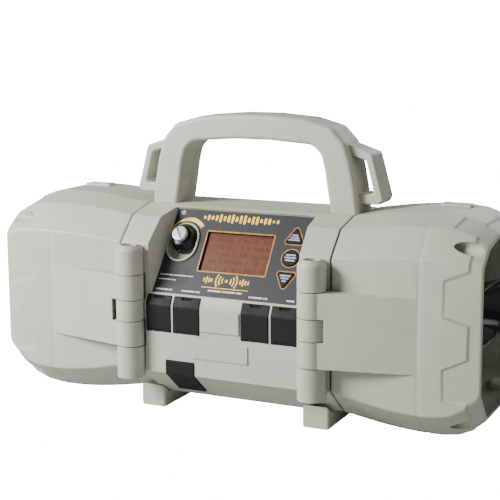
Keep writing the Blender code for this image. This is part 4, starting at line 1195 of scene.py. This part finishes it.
def make_rear(screw):
    """The rear: the battery door's frame, barrels, ribs and sign, the slider's grip, and the screws."""
    door_low, door_high = box_mm("battery_door")
    back = door_high.y
    frame_rings = []
    for margin, radius in ((4.6, 4.0), (0.8, 0.8)):
        near, far = (door_low.x - margin, door_low.z - margin), (door_high.x + margin, door_high.z + margin)
        frame_rings.append(rectangle(near, far, radius))
    raised("door_frame", frame_rings, back, 0.9, 0.35, "housing")
    border = [rectangle((-37.5, 48.5), (37.5, 101.5), 4.0), rectangle((-35.5, 50.5), (35.5, 99.5), 2.6)]
    raised("door_border", border, back, 0.6, 0.25)
    raised("door_ribs", bars(3, 54.0, 4.0, 1.6, 31.0) + bars(3, 86.4, 4.0, 1.6, 31.0), back, 0.8, 0.3)
    sign = [rectangle((-15.0, 69.0), (15.0, 82.0), 2.0), rectangle((-13.8, 70.2), (13.8, 80.8), 1.2)]
    sign += [rectangle(*corners) for corners in BATTERY_SIGN]
    raised("battery_sign", sign, back, 0.5, 0.12)
    for index, x in enumerate((-30.0, 30.0)):
        ends = [(x + half, back, door_low.z) for half in (-7.0, 7.0)]
        dressed(rod(f"door_barrel_{index + 1}", 2.3, *ends, 40, 0.4), "battery_door", "sage_shell")
    slider_low, slider_high = box_mm("door_slider")
    grip = bars(4, slider_low.z + 1.2, 1.6, 0.8, 6.5)
    raised("slider_grip", grip, slider_high.y, 0.5, 0.15, "door_slider", "black_rubber")
    for index, (x, z) in enumerate(REAR_SCREWS):
        matrix = placed((1, 0, 0), (0, 0, -1), (0, 1, 0), (x, back, z))
        dressed(turned(f"screw_boss_{index + 1}", SCREW_RING, matrix, 48), "housing", "sage_shell")
        place_screw(f"rear_screw_{index + 1}", screw, matrix, 20 + 37 * index, "housing")


def make_inner_screws(screw):
    """The screws of the horn baffles, and of the end plates that the open pods uncover."""
    for name, side in SIDES:
        for part, body in (("horn_baffle", f"pod_{name}"), ("end_plate", "housing")):
            low, high = box_mm(f"{part}_{name}")
            for index, (along, up) in enumerate(((0.1, 0.28), (0.9, 0.28), (0.1, 0.76), (0.9, 0.76))):
                matrix = facing_out(side, (high.x if side > 0 else low.x, low.y + along * (high.y - low.y),
                                           low.z + up * (high.z - low.z)))
                place_screw(f"{part}_screw_{name}_{index + 1}", screw, matrix, 15 + 41 * index, body)


RIDGES, RIDGE_WIDTH = [86.0 + 3.4 * index for index in range(4)], 1.4


def make_latch_grip(name, side):
    """Ridges across the free end of a latch lever."""
    ridges = []
    for x in RIDGES:
        ridges.append(box("ridge", *mirrored(side, (x, 82.2, 79.5), (x + RIDGE_WIDTH, 84.1, 94.5)), 0.45))
    dressed(merged(f"latch_grip_{name}", ridges), f"latch_{name}", "dark_plastic")


# ---- studio

def make_studio():
    floor = bmesh.new()
    bmesh.ops.create_grid(floor, x_segments=1, y_segments=1, size=FLOOR_HALF_SIZE)
    floor = add_mesh("studio_floor", floor)
    floor.data.materials.append(floor_material())

    world = bpy.data.worlds.new("studio_world")
    bpy.context.scene.world = world
    world.use_nodes = True
    tree = world.node_tree
    background = tree.nodes["Background"]
    seen = tree.nodes.new("ShaderNodeLightPath").outputs["Is Camera Ray"]
    strength = tree.nodes.new("ShaderNodeMapRange")
    strength.inputs["To Min"].default_value = WORLD_LIGHT
    strength.inputs["To Max"].default_value = WORLD_SEEN
    tree.links.new(seen, strength.inputs["Value"])
    tree.links.new(strength.outputs["Result"], background.inputs["Strength"])
    background.inputs["Color"].default_value = (1.0, 1.0, 1.0, 1.0)

    for name, place, size, power in LAMPS:
        light = bpy.data.lights.new(name, "AREA")
        light.shape, light.size, light.energy = "DISK", size, power
        lamp = new_object(name, light)
        lamp.location = place
        lamp.rotation_euler = (LAMP_TARGET - lamp.location).to_track_quat("-Z", "Y").to_euler()


def make_camera():
    """The camera at the photograph's viewing angle: from the right, a little above, with a long lens."""
    azimuth, elevation, roll = (math.radians(angle) for angle in (AZIMUTH, ELEVATION, ROLL))
    back = Vector((math.sin(azimuth) * math.cos(elevation), -math.cos(azimuth) * math.cos(elevation),
                   math.sin(elevation)))
    right = Vector((math.cos(azimuth), math.sin(azimuth), 0))
    up = back.cross(right)
    level = right * math.cos(roll) + up * math.sin(roll)
    lens = bpy.data.cameras.new("studio_camera")
    lens.lens, lens.sensor_width, lens.shift_x, lens.shift_y = LENS, SENSOR, SHIFT_X, SHIFT_Y
    lens.clip_start, lens.clip_end = 0.05, 20.0
    camera = new_object("studio_camera", lens)
    camera.matrix_world = Matrix((level, back.cross(level), back)).transposed().to_4x4()
    camera.location = CAMERA_PLACE
    bpy.context.scene.camera = camera


# ---- all of it

def main():
    screw = make_screw_mesh()
    for name, side in SIDES:
        make_pod_case(name, side)
        make_pod_screws(name, side, screw)
        make_horn(name, side)
        make_pod_ribs(name, side)
        make_gasket(name, side)
        make_crown_lug(name, side)
        make_hinge_top(name, side)
        make_latch_grip(name, side)
    make_rear(screw)
    make_inner_screws(screw)
    bpy.data.objects.remove(screw, do_unlink=True)
    make_handle()
    make_panel_print()
    make_key_prints()
    make_display()
    make_volume_knob()
    make_port_covers()
    finish_kept_nodes()
    make_studio()
    make_camera()


main()
